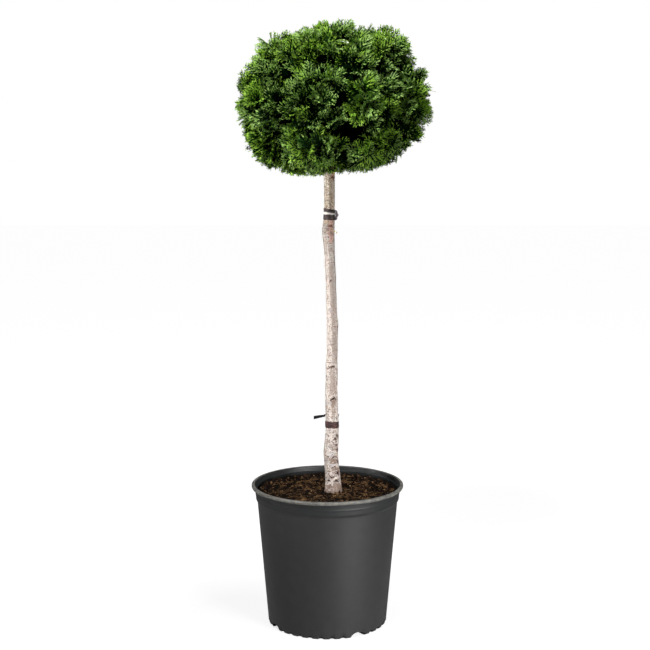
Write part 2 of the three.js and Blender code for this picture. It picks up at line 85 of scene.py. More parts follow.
def across_of(directions):
    """A unit vector square to each direction."""
    steep = np.abs(directions[..., 2:3]) >= 0.9
    return unit(np.cross(directions, np.where(steep, [1.0, 0.0, 0.0], UP)))


def square_to(axis, vectors):
    """What is left of each vector once it is made square to its axis, as a unit vector."""
    return unit(vectors - (vectors * axis).sum(axis=-1, keepdims=True) * axis)


def circle(across, over, turn):
    """Points at these turns from the first direction towards the second, which is square to it."""
    return across * np.cos(turn)[..., None] + over * np.sin(turn)[..., None]


def bezier(start, bend, end, count):
    share = np.linspace(0, 1, count)[:, None]
    return (1 - share) ** 2 * start + 2 * share * (1 - share) * bend + share**2 * end


def new_object(name, points, faces):
    mesh = bpy.data.meshes.new(name)
    faces = faces.tolist() if isinstance(faces, np.ndarray) else faces
    mesh.from_pydata((np.asarray(points) * MM).tolist(), [], faces)
    made = bpy.data.objects.new(name, mesh)
    bpy.context.scene.collection.objects.link(made)
    return made


def add_piece(name, points, faces, materials, slot, nodes=(), smooth=True, dealt=None):
    """A piece that rides on the one body. dealt is each face's material, as an index."""
    piece = new_object(name, points, faces)
    mesh = piece.data
    for material in materials:
        mesh.materials.append(material)
    if dealt is not None:
        mesh.polygons.foreach_set("material_index", np.asarray(dealt, dtype=np.int32))
    mesh.polygons.foreach_set("use_smooth", np.full(len(mesh.polygons), smooth))
    mesh.update()
    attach(piece, "root")
    if nodes:
        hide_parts(*nodes)
    return piece


def skin(rows, columns):
    """Quads over rows of points, each row a closed ring."""
    row, column = np.meshgrid(np.arange(rows - 1), np.arange(columns), indexing="ij")
    a = row * columns + column
    b = row * columns + (column + 1) % columns
    return np.stack([a, b, b + columns, a + columns], axis=-1).reshape(-1, 4)


def capped_skin(rows, columns):
    """The same, with one face over the first ring and one over the last."""
    ring = np.arange(columns)
    return skin(rows, columns).tolist() + [ring[::-1].tolist(), (ring + (rows - 1) * columns).tolist()]


class Skins:
    """Collects many small closed skins into one mesh."""

    def __init__(self):
        self.points, self.faces, self.count = [], [], 0

    def add(self, points, faces):
        self.points.append(points)
        self.faces += [[self.count + point for point in face] for face in faces]
        self.count += len(points)

    def piece(self, name, *rest, **options):
        return add_piece(name, np.concatenate(self.points), self.faces, *rest, **options)


def tube(curve, radii, sides):
    """A limb along a curve's points, closed at each end."""
    along = unit(np.gradient(curve, axis=0))
    across = square_to(along, across_of(unit(curve[-1] - curve[0])))
    ring = circle(across[:, None], np.cross(along, across)[:, None], all_round(sides))
    points = (curve[:, None] + ring * radii[:, None, None]).reshape(-1, 3)
    return points, capped_skin(len(curve), sides)


class Grain:
    """Smooth repeatable noise from -1 to 1 round a limb (bearing) and along it (height)."""

    ROWS = 512

    def __init__(self, seed, cells_round, cell_height):
        self.values = np.random.default_rng(seed).uniform(-1, 1, (self.ROWS, cells_round))
        self.cells_round, self.cell_height = cells_round, cell_height

    def __call__(self, bearing, height):
        x = (bearing / FULL_TURN % 1) * self.cells_round
        y = height / self.cell_height
        column, row = np.floor(x).astype(int), np.floor(y).astype(int)
        across, along = smooth_step(0, 1, x - column), smooth_step(0, 1, y - row)
        at = lambda r, c: self.values[(row + r) % self.ROWS, (column + c) % self.cells_round]
        return blend(blend(at(0, 0), at(0, 1), across), blend(at(1, 0), at(1, 1), across), along)


# -------------------- materials

PATTERN = {"Detail": 4, "Roughness": 0.6}
RAMP_FROM, RAMP_OVER = 0.3, 0.4  # the part of the noise's range that the colours are spread over


def colour(red, green, blue):
    """A linear colour from the usual 0 to 255 scale."""
    channels = [c / 255 for c in (red, green, blue)]
    linear = [c / 12.92 if c <= 0.04045 else ((c + 0.055) / 1.055) ** 2.4 for c in channels]
    return (*linear, 1.0)


def fill_sockets(node, values):
    """Sets input sockets by name, with _ for a space."""
    for socket, value in values.items():
        node.inputs[socket.replace("_", " ")].default_value = value
    return node


def new_node(tree, kind, **values):
    return fill_sockets(tree.nodes.new("ShaderNode" + kind), values)


def wire(tree, source, output, target, socket):
    tree.links.new(source.outputs[output], target.inputs[socket])


def patterned(name, colours, cells, roughness, stretch=(1, 1, 1), bump=0.0, bump_cells=None, **sockets):
    """A Principled material whose base colour runs through colours by noise in the object's own space,
    with so many cells to a metre. stretch draws the cells out, and bump is a height in metres."""
    material = bpy.data.materials.new(name)
    material.use_nodes = True
    tree = material.node_tree
    shader = fill_sockets(tree.nodes["Principled BSDF"], {"Roughness": roughness, **sockets})
    place = new_node(tree, "TexCoord")
    mapping = new_node(tree, "Mapping", Scale=stretch)
    wire(tree, place, "Object", mapping, "Vector")
    noise = new_node(tree, "TexNoise", Scale=cells, **PATTERN)
    wire(tree, mapping, "Vector", noise, "Vector")
    ramp = new_node(tree, "ValToRGB")
    stops = ramp.color_ramp.elements
    while len(stops) < len(colours):
        stops.new(0.5)
    for n, tone in enumerate(colours):
        stops[n].position = RAMP_FROM + RAMP_OVER * n / (len(colours) - 1)
        stops[n].color = colour(*tone)
    wire(tree, noise, "Fac", ramp, "Fac")
    wire(tree, ramp, "Color", shader, "Base Color")
    if bump:
        fine = new_node(tree, "TexNoise", Scale=bump_cells or cells * 3, Detail=5)
        wire(tree, mapping, "Vector", fine, "Vector")
        relief = new_node(tree, "Bump", Distance=bump)
        wire(tree, fine, "Fac", relief, "Height")
        wire(tree, relief, "Normal", shader, "Normal")
    return material


# -------------------- pot

RIM_RADIUS, _, POT_HEIGHT = corner("pot", 1)
WALL_FOOT, WALL_SLOPE = 109.6, 0.0862  # the wall's radius on the ground, and its gain by height
WALL = 2.0
LIP = {"height": 6.5, "mouth": 6.6}
SHOULDER = {"height": 230.0, "step": 2.2, "rise": 3.3}
BEAD = {"height": 243.5, "half": 2.4, "rise": 0.4}
# The foot's ring of nubs: their count, where one notch between two lies, how high a notch is, how far
# up the nubs fade out, how far they stand out, and the radius that they begin at.
FEET = {"count": 34, "notch": 274.3, "rise": 1.3, "fade": 8.0, "swell": 3.2, "inner": 98.0}
DRAIN = {"count": 4, "width": 31.0, "height": 9.5, "depth": 44.0, "turn": -60.0, "below": 3.0}
ARCH = {"from": 0.25, "points": 12, "narrow": 0.78, "blunt": 0.7}  # the top of a drain's outline
POT_SIDES = 272
SHARP = 40 * DEG


def wall_radius(z):
    return WALL_FOOT + WALL_SLOPE * z


def softened(corners, steps=5):
    """An outline whose corners (radius, height, cut) are rounded, each over its own cut."""
    outline = []
    places = [np.array(c[:2], float) for c in corners]
    for n, (*_, cut) in enumerate(corners):
        here = places[n]
        if not cut:
            outline.append(here)
            continue
        before, after = places[n - 1], places[n + 1]
        start = here + unit(before - here) * min(cut, np.linalg.norm(before - here) / 2)
        end = here + unit(after - here) * min(cut, np.linalg.norm(after - here) / 2)
        outline += list(bezier(start, here, end, steps + 1))
    return np.array(outline)


def pot_outline():
    """From the middle of the underside out, up the wall, over the lip and down the inside."""
    shoulder, bead = SHOULDER["height"], BEAD["height"]
    lip_foot = POT_HEIGHT - LIP["height"]
    mouth = RIM_RADIUS - LIP["mouth"]
    step_top = shoulder + SHOULDER["rise"]
    bead_low, bead_high = bead - BEAD["half"], bead + BEAD["half"]
    upper = lambda z: wall_radius(z) + SHOULDER["step"]
    return softened(
        [
            (0, 1.6, 0),
            (88, 1.6, 1),
            (91, 0, 1),
            (97, 0, 0),
            (101, 0, 0),
            (wall_radius(0), 0, 6),
            *[(wall_radius(z), z, 0) for z in np.linspace(12, shoulder - 8, 9)],
            (wall_radius(shoulder), shoulder, 1.6),
            (upper(step_top), step_top, 1.6),
            (upper(bead_low), bead_low, 0.8),
            (upper(bead) + BEAD["rise"], bead, 1.4),
            (upper(bead_high), bead_high, 0.8),
            (upper(lip_foot), lip_foot, 1.2),
            (RIM_RADIUS - 1.6, lip_foot - 0.4, 1.4),
            (RIM_RADIUS, lip_foot + 1.6, 1.6),
            (RIM_RADIUS, POT_HEIGHT, 3.1),
            (mouth, POT_HEIGHT, 3.1),
            (mouth - 0.2, POT_HEIGHT - 9, 0.6),
            (upper(lip_foot) - WALL - 0.6, POT_HEIGHT - 10.6, 0.8),
            (upper(step_top) - WALL, step_top + 1, 1.5),
            (wall_radius(shoulder) - WALL, shoulder + 1, 1.5),
            (wall_radius(9) - WALL, 9, 3),
            (104, 3, 3),
            (0, 3, 0),
        ]
    )


def turned_skin(outline, sides, shape):
    """A closed skin of an outline turned about +Z, whose first and last points lie on the axis."""
    bearing = all_round(sides)
    radius = np.repeat(outline[1:-1, :1], sides, axis=1)
    height = np.repeat(outline[1:-1, 1:], sides, axis=1)
    radius, height = shape(radius, height, bearing[None, :])
    rings = np.stack([radius * np.cos(bearing), radius * np.sin(bearing), height], axis=-1)
    points = np.concatenate([rings.reshape(-1, 3), [[0, 0, outline[0, 1]], [0, 0, outline[-1, 1]]]])
    low, high = len(points) - 2, len(points) - 1
    last = (len(outline) - 3) * sides
    around = np.arange(sides)
    beside = (around + 1) % sides
    faces = skin(len(outline) - 2, sides).tolist()
    faces += [[low, int(b), int(a)] for a, b in zip(around, beside)]
    faces += [[high, int(last + a), int(last + b)] for a, b in zip(around, beside)]
    return points, faces


def with_feet(radius, height, bearing):
    """The rounded foot of the pot stands on a ring of small nubs."""
    wave = 0.5 - 0.5 * np.cos(FEET["count"] * (bearing - FEET["notch"] * DEG))
    nub = smooth_step(0.1, 0.5, wave)
    near = (1 - smooth_step(0, FEET["fade"], height)) * smooth_step(FEET["inner"] - 7, FEET["inner"], radius)
    outside = smooth_step(wall_radius(0) - 4, wall_radius(0), radius)
    swell = near * outside * (nub - 0.8) * FEET["swell"]
    return radius + swell, height + near * (1 - nub) * FEET["rise"]


def drain_cutter():
    """The arches that cut the foot of the pot."""
    cutters = Skins()
    half, top = DRAIN["width"] / 2, DRAIN["height"]
    turns = np.linspace(ARCH["from"], math.pi - ARCH["from"], ARCH["points"])
    arch = [(-half, -DRAIN["below"]), (half, -DRAIN["below"])]
    arch += [(half * ARCH["narrow"] * math.cos(t), top * math.sin(t) ** ARCH["blunt"]) for t in turns]
    count = len(arch)
    for n in range(DRAIN["count"]):
        out = outwards((DRAIN["turn"] + 360 * n / DRAIN["count"]) * DEG)
        side = np.cross(UP, out)
        ends = [wall_radius(0) + DRAIN["depth"] * 0.25, wall_radius(0) - DRAIN["depth"] * 0.75]
        points = np.array([out * end + side * x + UP * z for end in ends for x, z in arch])
        sides = [[k, k + count, (k + 1) % count + count, (k + 1) % count] for k in range(count)]
        cutters.add(points, sides + [list(range(count)), list(range(count, 2 * count))[::-1]])
    return new_object("drain_cutter", np.concatenate(cutters.points), cutters.faces)


def make_pot():
    moulded = {"bump": 0.00006, "bump_cells": 900}
    dull_in_shade = {"Specular_IOR_Level": 0.3, **moulded}
    plastics = [
        patterned("pot_plastic", [(31, 31, 31), (36, 36, 36)], 60, 0.48, **moulded),
        # The band between the shoulder and the lip is darker than the body: painted shade under the lip.
        patterned("pot_band_shaded", [(20, 21, 22), (28, 29, 30)], 60, 0.5, **moulded),
        # The inside of the pot is much darker than its plastic, with less sheen: painted shade inside the
        # pot.
        patterned("pot_inside_shaded", [(8, 10, 10), (15, 18, 17)], 90, 0.75, **dull_in_shade),
        # The lip's top and outer face are a light grey: dust on the plastic, and a painted highlight along
        # the lip.
        patterned("pot_lip_dust_and_highlight", [(62, 63, 60), (96, 94, 89), (118, 114, 106)], 120, 0.6, **moulded),
    ]
    points, faces = turned_skin(pot_outline(), POT_SIDES, with_feet)
    pot = add_piece("pot_shell", points, faces, plastics, "pot", ["pot"])
    cutter = drain_cutter()
    cut = pot.modifiers.new("drains", "BOOLEAN")
    cut.operation = "DIFFERENCE"
    cut.object = cutter
    bpy.context.view_layer.update()
    depsgraph = bpy.context.evaluated_depsgraph_get()
    mesh = bpy.data.meshes.new_from_object(pot.evaluated_get(depsgraph))
    pot.modifiers.clear()
    pot.data = mesh
    bpy.data.objects.remove(cutter)
    band_foot, lip_foot = SHOULDER["height"] + SHOULDER["rise"], POT_HEIGHT - LIP["height"]
    for polygon in mesh.polygons:
        polygon.use_smooth = True
        height = polygon.center.z / MM
        radius = math.hypot(polygon.center.x, polygon.center.y) / MM
        within = wall_radius(height) + (SHOULDER["step"] if height > band_foot else 0) - WALL / 2
        # The lip: dust and a painted highlight.
        if height > lip_foot + 0.5 and radius > RIM_RADIUS - LIP["mouth"] + 0.8:
            polygon.material_index = 3
        # The inside of the wall: painted shade.
        elif radius < within and height > 2:
            polygon.material_index = 2
        # Above the shoulder: the band with painted shade under the lip.
        elif height > band_foot:
            polygon.material_index = 1
    mesh.set_sharp_from_angle(angle=SHARP)


# -------------------- soil

SOIL_RADIUS, _, SOIL_TOP = corner("soil", 1)
BED = {"foot": 14.0, "gap": 0.8, "rings": 56, "sides": 200}
CHIPS = {"count": 6400, "long": (1.8, 11), "wide": (0.1, 0.3), "thick": (0.08, 0.22), "seed": 7}
CLEAR_OF_TRUNK = 13
# The browns of the chips, dark and light, how rough each is, and the share of the chips that have it.
BROWNS = {
    "chip_dark": ([(10, 6, 3), (26, 16, 9)], 0.9, 0.65),
    "chip_brown": ([(42, 28, 17), (70, 50, 31)], 0.85, 0.255),
    "chip_tan": ([(98, 72, 46), (134, 104, 72)], 0.8, 0.08),
    "chip_pale": ([(140, 108, 76), (176, 148, 112)], 0.8, 0.015),
}
FIBRES = {"count": 520, "like": 2, "from": 16, "long": (6, 17), "rise": (1, 4), "radius": (0.25, 0.5)}


def soil_height(x, y):
    """The bed is banked up at the pot's wall, with lumps, and hollows between crumbs."""
    radius, bearing = np.hypot(x, y), np.arctan2(y, x)
    lumps = 4.4 + 2.0 * Grain(13, 16, 30)(bearing, radius)
    bank = smooth_step(SOIL_RADIUS - 34, SOIL_RADIUS - 8, radius) * lumps
    rough = 1.7 * Grain(11, 30, 11)(bearing, radius) + Grain(12, 110, 3)(bearing, radius)
    mound = 2.0 * np.exp(-((radius / 50) ** 2))
    return SOIL_TOP + 0.4 + bank + mound + rough


def soil_bed(material):
    foot, gap = BED["foot"], BED["gap"]
    rings = np.linspace(wall_radius(SOIL_TOP) - WALL - gap, 3, BED["rings"])
    side = [[0, foot], [wall_radius(foot) - WALL - 1, foot]]
    outline = np.array([*side, *[[r, SOIL_TOP] for r in rings], [0, SOIL_TOP]])

    def crumbled(radius, height, bearing):
        x, y = radius * np.cos(bearing), radius * np.sin(bearing)
        return radius, np.where(height < SOIL_TOP, height, soil_height(x, y))

    add_piece("soil_bed", *turned_skin(outline, BED["sides"], crumbled), [material], "soil", ["soil"])


def bed_places(random, count, low, high):
    """Even places over the bed between two radii."""
    radius = np.sqrt(random.uniform(low**2, high**2, count))
    bearing = random.uniform(0, FULL_TURN, count)
    x, y = radius * np.cos(bearing), radius * np.sin(bearing)
    return np.stack([x, y, soil_height(x, y)], axis=-1)


def bark_chip(random, place):
    """A flat six-cornered flake of composted bark, tilted."""
    around = all_round(6)
    long = blend(*CHIPS["long"], random.random() ** 3)
    wide = long * random.uniform(*CHIPS["wide"])
    thick = max(0.7, long * random.uniform(*CHIPS["thick"]))
    uneven = random.uniform(0.72, 1.1, (2, 6))[..., None]
    flat = np.stack([np.cos(around) * long / 2, np.sin(around) * wide, np.zeros(6)], axis=-1)
    chip = np.concatenate([flat * uneven[0], flat * uneven[1] * 0.85 + UP * thick])
    tilt = random.normal(0, 0.5, 2)
    turn = Euler((tilt[0], tilt[1], random.uniform(0, FULL_TURN))).to_matrix()
    return chip @ np.array(turn).T + place + UP * random.uniform(-0.4, 1.2)


def fibre(random, start):
    heading = random.uniform(0, FULL_TURN)
    ahead = outwards(heading) * random.uniform(*FIBRES["long"])
    side = np.cross(UP, ahead) * random.uniform(-0.3, 0.3)
    middle = start + ahead / 2 + side + UP * random.uniform(*FIBRES["rise"])
    curve = bezier(start + UP, middle, start + ahead + UP, 6)
    return tube(curve, np.full(6, random.uniform(*FIBRES["radius"])), 3)


def make_soil():
    rough = {"bump": 0.0003, "Specular_IOR_Level": 0.1}
    soil_bed(patterned("humus", [(9, 6, 4), (20, 13, 9)], 220, 1.0, **{**rough, "bump": 0.0008}))
    random = np.random.default_rng(CHIPS["seed"])
    trunk_foot = (corner("trunk", 0) + corner("trunk", 1)) / 2
    reach = wall_radius(SOIL_TOP) - WALL - 5
    shares = [share for *_, share in BROWNS.values()]
    chips, browns = [], []
    for place in bed_places(random, CHIPS["count"], 4, reach):
        chip = bark_chip(random, place)
        near = np.hypot(chip[:, 0] - trunk_foot[0], chip[:, 1] - trunk_foot[1]).min() < CLEAR_OF_TRUNK
        if near or np.hypot(chip[:, 0], chip[:, 1]).max() > reach + 3:
            continue
        chips.append(chip)
        browns.append(random.choice(len(BROWNS), p=shares))
    top = [[6, 7, 8, 9, 10, 11], [5, 4, 3, 2, 1, 0]]
    sides = [[n, (n + 1) % 6, (n + 1) % 6 + 6, n + 6] for n in range(6)]
    for n, (name, (colours, roughness, _)) in enumerate(BROWNS.items()):
        alike = Skins()
        for chip, brown in zip(chips, browns):
            if brown == n:
                alike.add(chip, top + sides)
        if n == FIBRES["like"]:
            for start in bed_places(random, FIBRES["count"], FIBRES["from"], reach - 12):
                alike.add(*fibre(random, start))
        material = patterned(name, colours, 160, roughness, **rough)
        alike.piece(f"bark_chips_{n + 1}", [material], "soil", smooth=False)


# -------------------- trunk

TRUNK_SIDES = 96
TRUNK_STEP = 1.0
TRUNK_EASE = 15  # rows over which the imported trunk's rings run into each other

# Creases, spots and scars on the bark: height, bearing (270 is the front), half width in degrees,
# half height, how far its sides droop, relief, and the tone of its faces. Stains come first.
# The stains in the shade tone are painted shade, down the stem's middle and right side and just under
# the creases, and so is the tan stain just under the crease at 420. The pale marks on raised nubs are
# painted highlights and the umber marks just under them painted shadow; the umber of the creases is
# partly painted shadow, partly dark bark.
MARKS = [
    (800, 278, 17, 62, 0, 0, "streak"),
    (790, 240, 7, 70, 0, 0, "streak"),
    (775, 312, 7, 50, 0, 0, "streak"),
    (660, 268, 12, 60, 0, 0, "shade"),
    (590, 286, 24, 80, 0, -0.1, "shade"),
    (520, 300, 30, 60, 0, 0, "shade"),
    (500, 330, 12, 80, 0, 0, "shade"),
    (440, 292, 30, 50, 0, 0, "shade"),
    (822, 300, 44, 9, 0, 0, "streak"),
    (472, 276, 36, 10, 3, -0.1, "shade"),
    (411, 282, 32, 9, 4, -0.1, "tan"),
    (348, 306, 34, 6, 3, -0.2, "shade"),
    (330, 300, 36, 5, 0, -0.2, "shade"),
    (312, 306, 44, 6, 0, -0.2, "grey"),
    (272, 262, 50, 7, 0, -0.2, "shade"),
    (257, 290, 120, 6, 0, -0.2, "tan"),
    (823, 306, 34, 2.4, 3, -0.5, "rust"),
    (786, 284, 18, 1.4, 0, -0.3, "streak"),
    (736, 284, 36, 2.6, 3, -0.7, "rust"),
    (729, 262, 20, 4, 0, -0.3, "tan"),
    (722, 300, 22, 5, 0, -0.3, "tan"),
    (715, 264, 8, 1.6, 0, -0.3, "umber"),
    (695, 282, 26, 0.9, 0, -0.3, "tan"),
    (683, 275, 9, 1.6, 0, -0.3, "tan"),
    (663, 176, 16, 2.4, 0, 0.9, "grey"),
    (653, 312, 7, 2.4, 0, -0.4, "umber"),
    (642, 268, 20, 1.6, 0, 0.8, "pale"),
    (637, 270, 17, 2.2, 0, -0.5, "umber"),
    (632, 270, 12, 3, 0, -0.3, "shade"),
    (553, 304, 56, 1.6, 0, -0.5, "tan"),
    (563, 326, 20, 1.2, 4, -0.4, "umber"),
    (531, 250, 12, 1.8, 0, 0.9, "pale"),
    (526, 248, 14, 1.2, 0, -0.5, "umber"),
    (520, 282, 22, 1.1, 2, -0.3, "tan"),
    (508, 285, 34, 0.9, 0, -0.3, "tan"),
    (479, 272, 62, 2.5, 6, -0.8, "umber"),
    (461, 205, 14, 1.6, 0, -0.4, "umber"),
    (455, 216, 9, 1.4, 0, -0.4, "umber"),
    (447, 200, 10, 2.2, 0, -0.3, "tan"),
    (426, 262, 26, 1.2, 0, -0.3, "tan"),
    (420, 288, 52, 2.8, 5, -0.9, "umber"),
    (400, 268, 40, 1, 0, -0.3, "tan"),
    (394, 296, 26, 2, 3, -0.3, "tan"),
    (351, 319, 28, 4, 3, -0.5, "umber"),
    (345, 297, 22, 2.4, 2, -0.4, "umber"),
    (334, 316, 26, 2, 0, -0.4, "umber"),
    (324, 340, 22, 5, 0, -0.5, "umber"),
    (312, 308, 48, 1.8, 3, -0.6, "umber"),
    (303, 196, 14, 2.8, 0, -0.4, "umber"),
    (301, 334, 24, 5, 0, -0.5, "umber"),
    (293, 296, 32, 1.6, 2, -0.5, "umber"),
    (282, 320, 30, 6.5, 3, -0.8, "umber"),
    (274, 264, 30, 2.2, -4, -0.6, "umber"),
    (268, 236, 20, 2.2, 2, -0.5, "umber"),
    (267, 300, 26, 2.4, 2, -0.5, "umber"),
]
WIDE_MARK = 20  # creases this wide, in degrees each way, have a raised lip, painted pale as a highlight
TALL_MARK = 30  # stains this tall have edges drawn out along the stem
# Each tone's colours, and how many cells of it there are to a metre.
BARKS = {
    "pale": (110, [(170, 159, 150), (190, 180, 172), (206, 198, 192)]),
    # shade is a darker pale, used for painted shade on the bark.
    "shade": (110, [(143, 131, 122), (169, 157, 149)]),
    "grey": (170, [(128, 122, 120), (164, 158, 156), (186, 182, 181)]),
    "tan": (150, [(112, 94, 84), (148, 129, 118)]),
    "umber": (150, [(30, 18, 17), (66, 44, 40)]),
    "rust": (150, [(104, 52, 34), (150, 92, 66)]),
    "graft": (150, [(186, 142, 126), (224, 190, 176)]),
    # cream is the young bark's own colour, made lighter still to offset the shade under the crown: painted
    # light.
    "cream": (110, [(222, 207, 186), (240, 230, 214)]),
    "streak": (130, [(182, 158, 132), (212, 193, 170)]),
}
TONES = list(BARKS)
GRAFT = {"z": 727.0, "half": 24.0, "bearing": 292.0, "half_width": 42.0}  # the pink scar of the graft
YOUNG_FROM = 742.0  # above it the bark is still smooth and cream
FLUTES = {"round": 15, "thin": 34, "tall": 46.0, "over": 0.34}  # the faint upright streaks: painted shade on the flutes of the old bark, tan streaks on the young bark
SHADED_WEATHER_SIDE = 340 * DEG  # the side away from the light, on which the old bark is greyest and darkest: weathering, and painted shade
LIT_SIDE = 205 * DEG  # and the lit side, painted lighter, with the fewest shade streaks
BANDS = ["tie_band_upper", "tie_band_middle", "tie_band_lower"]


def packed_rings(node):
    """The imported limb's level rings: their heights, and each ring's corners in order of bearing."""
    points = np.array([v.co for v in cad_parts[node].data.vertices]) / MM
    heights = np.unique(points[:, 2].round(1))
    rings = []
    for height in heights:
        ring = np.unique(points[np.abs(points[:, 2] - height) < 0.06][:, :2].round(2), axis=0)
        bearing = np.arctan2(*(ring - ring.mean(axis=0)).T[::-1]) % FULL_TURN
        rings.append(ring[np.argsort((bearing + 0.1) % FULL_TURN)])
    return heights, np.array(rings)


def finer_rings(rings, sides):
    """The same rings through the same corners with more of them, rounded."""
    return np.fft.irfft(np.fft.rfft(rings, axis=1), sides, axis=1) * (sides / rings.shape[1])


def eased(values, width):
    """Values down the first axis, run into each other over a width of rows."""
    kernel = np.hanning(width + 2)[1:-1]
    kernel /= kernel.sum()
    padded = np.concatenate([values[:1].repeat(width, 0), values, values[-1:].repeat(width, 0)])
    flat = padded.reshape(len(padded), -1)
    run = np.stack([np.convolve(column, kernel, "same") for column in flat.T], axis=-1)
    return run[width:-width].reshape(values.shape)


class Trunk:
    def __init__(self):
        heights, rings = packed_rings("trunk")
        self.foot, self.tip = heights[0], heights[-1]
        self.z = np.arange(self.foot, self.tip, TRUNK_STEP)
        fine = finer_rings(rings, TRUNK_SIDES).reshape(len(heights), -1)
        even = np.stack([np.interp(self.z, heights, column) for column in fine.T], axis=-1)
        self.rings = eased(even, TRUNK_EASE).reshape(len(self.z), TRUNK_SIDES, 2)
        self.middle = self.rings.mean(axis=1)

    def at(self, z):
        """The centre line's point at a height."""
        return np.array([*[np.interp(z, self.z, column) for column in self.middle.T], z])

    def bark_point(self, z, bearing, off=0.0):
        """A point on the bark, or off it, by height and bearing in radians (arrays may be given)."""
        row = np.clip((z - self.foot) / TRUNK_STEP, 0, len(self.z) - 1.001)
        column = (bearing / FULL_TURN % 1) * TRUNK_SIDES
        low_row, low_column = np.floor(row).astype(int), np.floor(column).astype(int)
        up, across = (row - low_row)[..., None], (column - low_column)[..., None]
        pick = lambda r, c: self.rings[low_row + r, (low_column + c) % TRUNK_SIDES]
        flat = blend(blend(pick(0, 0), pick(0, 1), across), blend(pick(1, 0), pick(1, 1), across), up)
        out = np.stack([np.cos(bearing), np.sin(bearing)], axis=-1)
        return np.concatenate([flat + out * np.asarray(off)[..., None], np.asarray(z)[..., None]], axis=-1)

    def spot(self, place, off):
        return self.bark_point(np.array(place["z"]), np.array(place["bearing"] * DEG), off)


def degrees_from(bearing, middle):
    return (bearing / DEG - middle + 180) % 360 - 180


def mark_near(mark, bearing, height, wander):
    """How near each place is to a mark: 1 in its middle, 0 from its edge on."""
    z, around, half_width, half_height, droop, *_ = mark
    turn = degrees_from(bearing, around) / half_width
    jagged = Grain(28, 22, 400)(bearing, z + 0 * height) * min(1.1, half_height * 0.5)
    rise = (height + jagged - (z - droop * turn**2)) / half_height
    return np.clip(1.15 - (turn**2 + rise**2) ** 0.5 + wander * 0.3, 0, 1)


def bark_relief(bearing, height, foot):
    """The bark's relief in millimetres, without the marks."""
    grain = lambda *cells: Grain(*cells)(bearing, height)
    lumps = grain(21, 5, 19) * 0.35
    wrinkles = grain(22, 9, 2.1) * 0.07 + grain(23, 5, 4.6) * 0.09
    flakes = grain(24, 40, 7) * 0.08 + grain(25, 60, 2.2) * 0.06
    old = 1 - smooth_step(foot + 15, foot + 95, height)
    young = smooth_step(YOUNG_FROM - 8, YOUNG_FROM + 8, height)
    cracks = 1 - np.abs(grain(26, 13, 8)) * 5
    wrinkles *= 1 + 1.5 * old - 0.6 * young
    flakes *= 0.7 + 1.8 * old - 0.55 * young
    return lumps + wrinkles + flakes - np.clip(cracks, 0, 1) * 0.55 * old


def bark_tones(foot, bearing, height):
    """Each place's tone before its marks: streaks, painted shade on the flutes away from the lit side, the
    graft, and the mottled old foot, greyer and darker on the side away from the light, partly painted shade.
    """
    grain = lambda *cells: Grain(*cells)(bearing, height)
    tone = np.full(height.shape, TONES.index("pale"))

    def deal(name, where):
        tone[where] = TONES.index(name)

    fine, strands = grain(36, 64, 1.3), grain(27, 90, 11)
    flute = Grain(38, FLUTES["round"], FLUTES["tall"])(bearing + 0.002 * height, height)
    thin = grain(29, FLUTES["thin"], FLUTES["tall"]) + 0.5 * strands
    old = 1 - smooth_step(foot + 40, foot + 190, height)
    young = height + 8 * grain(37, 9, 12) > YOUNG_FROM
    # Painted light and shade: the lit side is kept free of shade streaks, and the old bark is greyer and
    # darker towards the side away from the light, partly weathering.
    lit = np.clip(2 * np.cos(bearing - LIT_SIDE) - 1, 0, 1)
    weather_and_shade = old * (0.6 + 0.6 * np.cos(bearing - SHADED_WEATHER_SIDE))
    damp = 1 - smooth_step(foot + 1, foot + 20, height)
    deal("cream", young)
    deal("shade", flute + 0.6 * strands - 0.7 * lit > FLUTES["over"])
    deal("streak", young & (thin + 0.5 * flute > FLUTES["over"]))
    deal("grey", (grain(39, 11, 3.4) + 0.3 * fine + weather_and_shade > 0.74) & ~young)
    deal("tan", (grain(35, 9, 1.8) > 0.78) & ~young)
    deal("tan", grain(40, 9, 3) + 0.3 * fine + 1.1 * weather_and_shade > 1.36)
    deal("umber", grain(34, 40, 2.8) + 0.42 * weather_and_shade > 0.95)
    deal("pale", (grain(32, 44, 2.4) > 0.62) & (old > 0.2))
    deal("tan", grain(41, 30, 5) + 0.5 * fine + 1.2 * damp > 0.75)
    beside = np.abs(degrees_from(bearing, GRAFT["bearing"])) / GRAFT["half_width"]
    graft = 1 - np.hypot((height - GRAFT["z"]) / GRAFT["half"], beside)
    deal("graft", graft + 0.3 * grain(33, 14, 6) + 0.2 * fine > 0.1)
    return tone, fine, strands


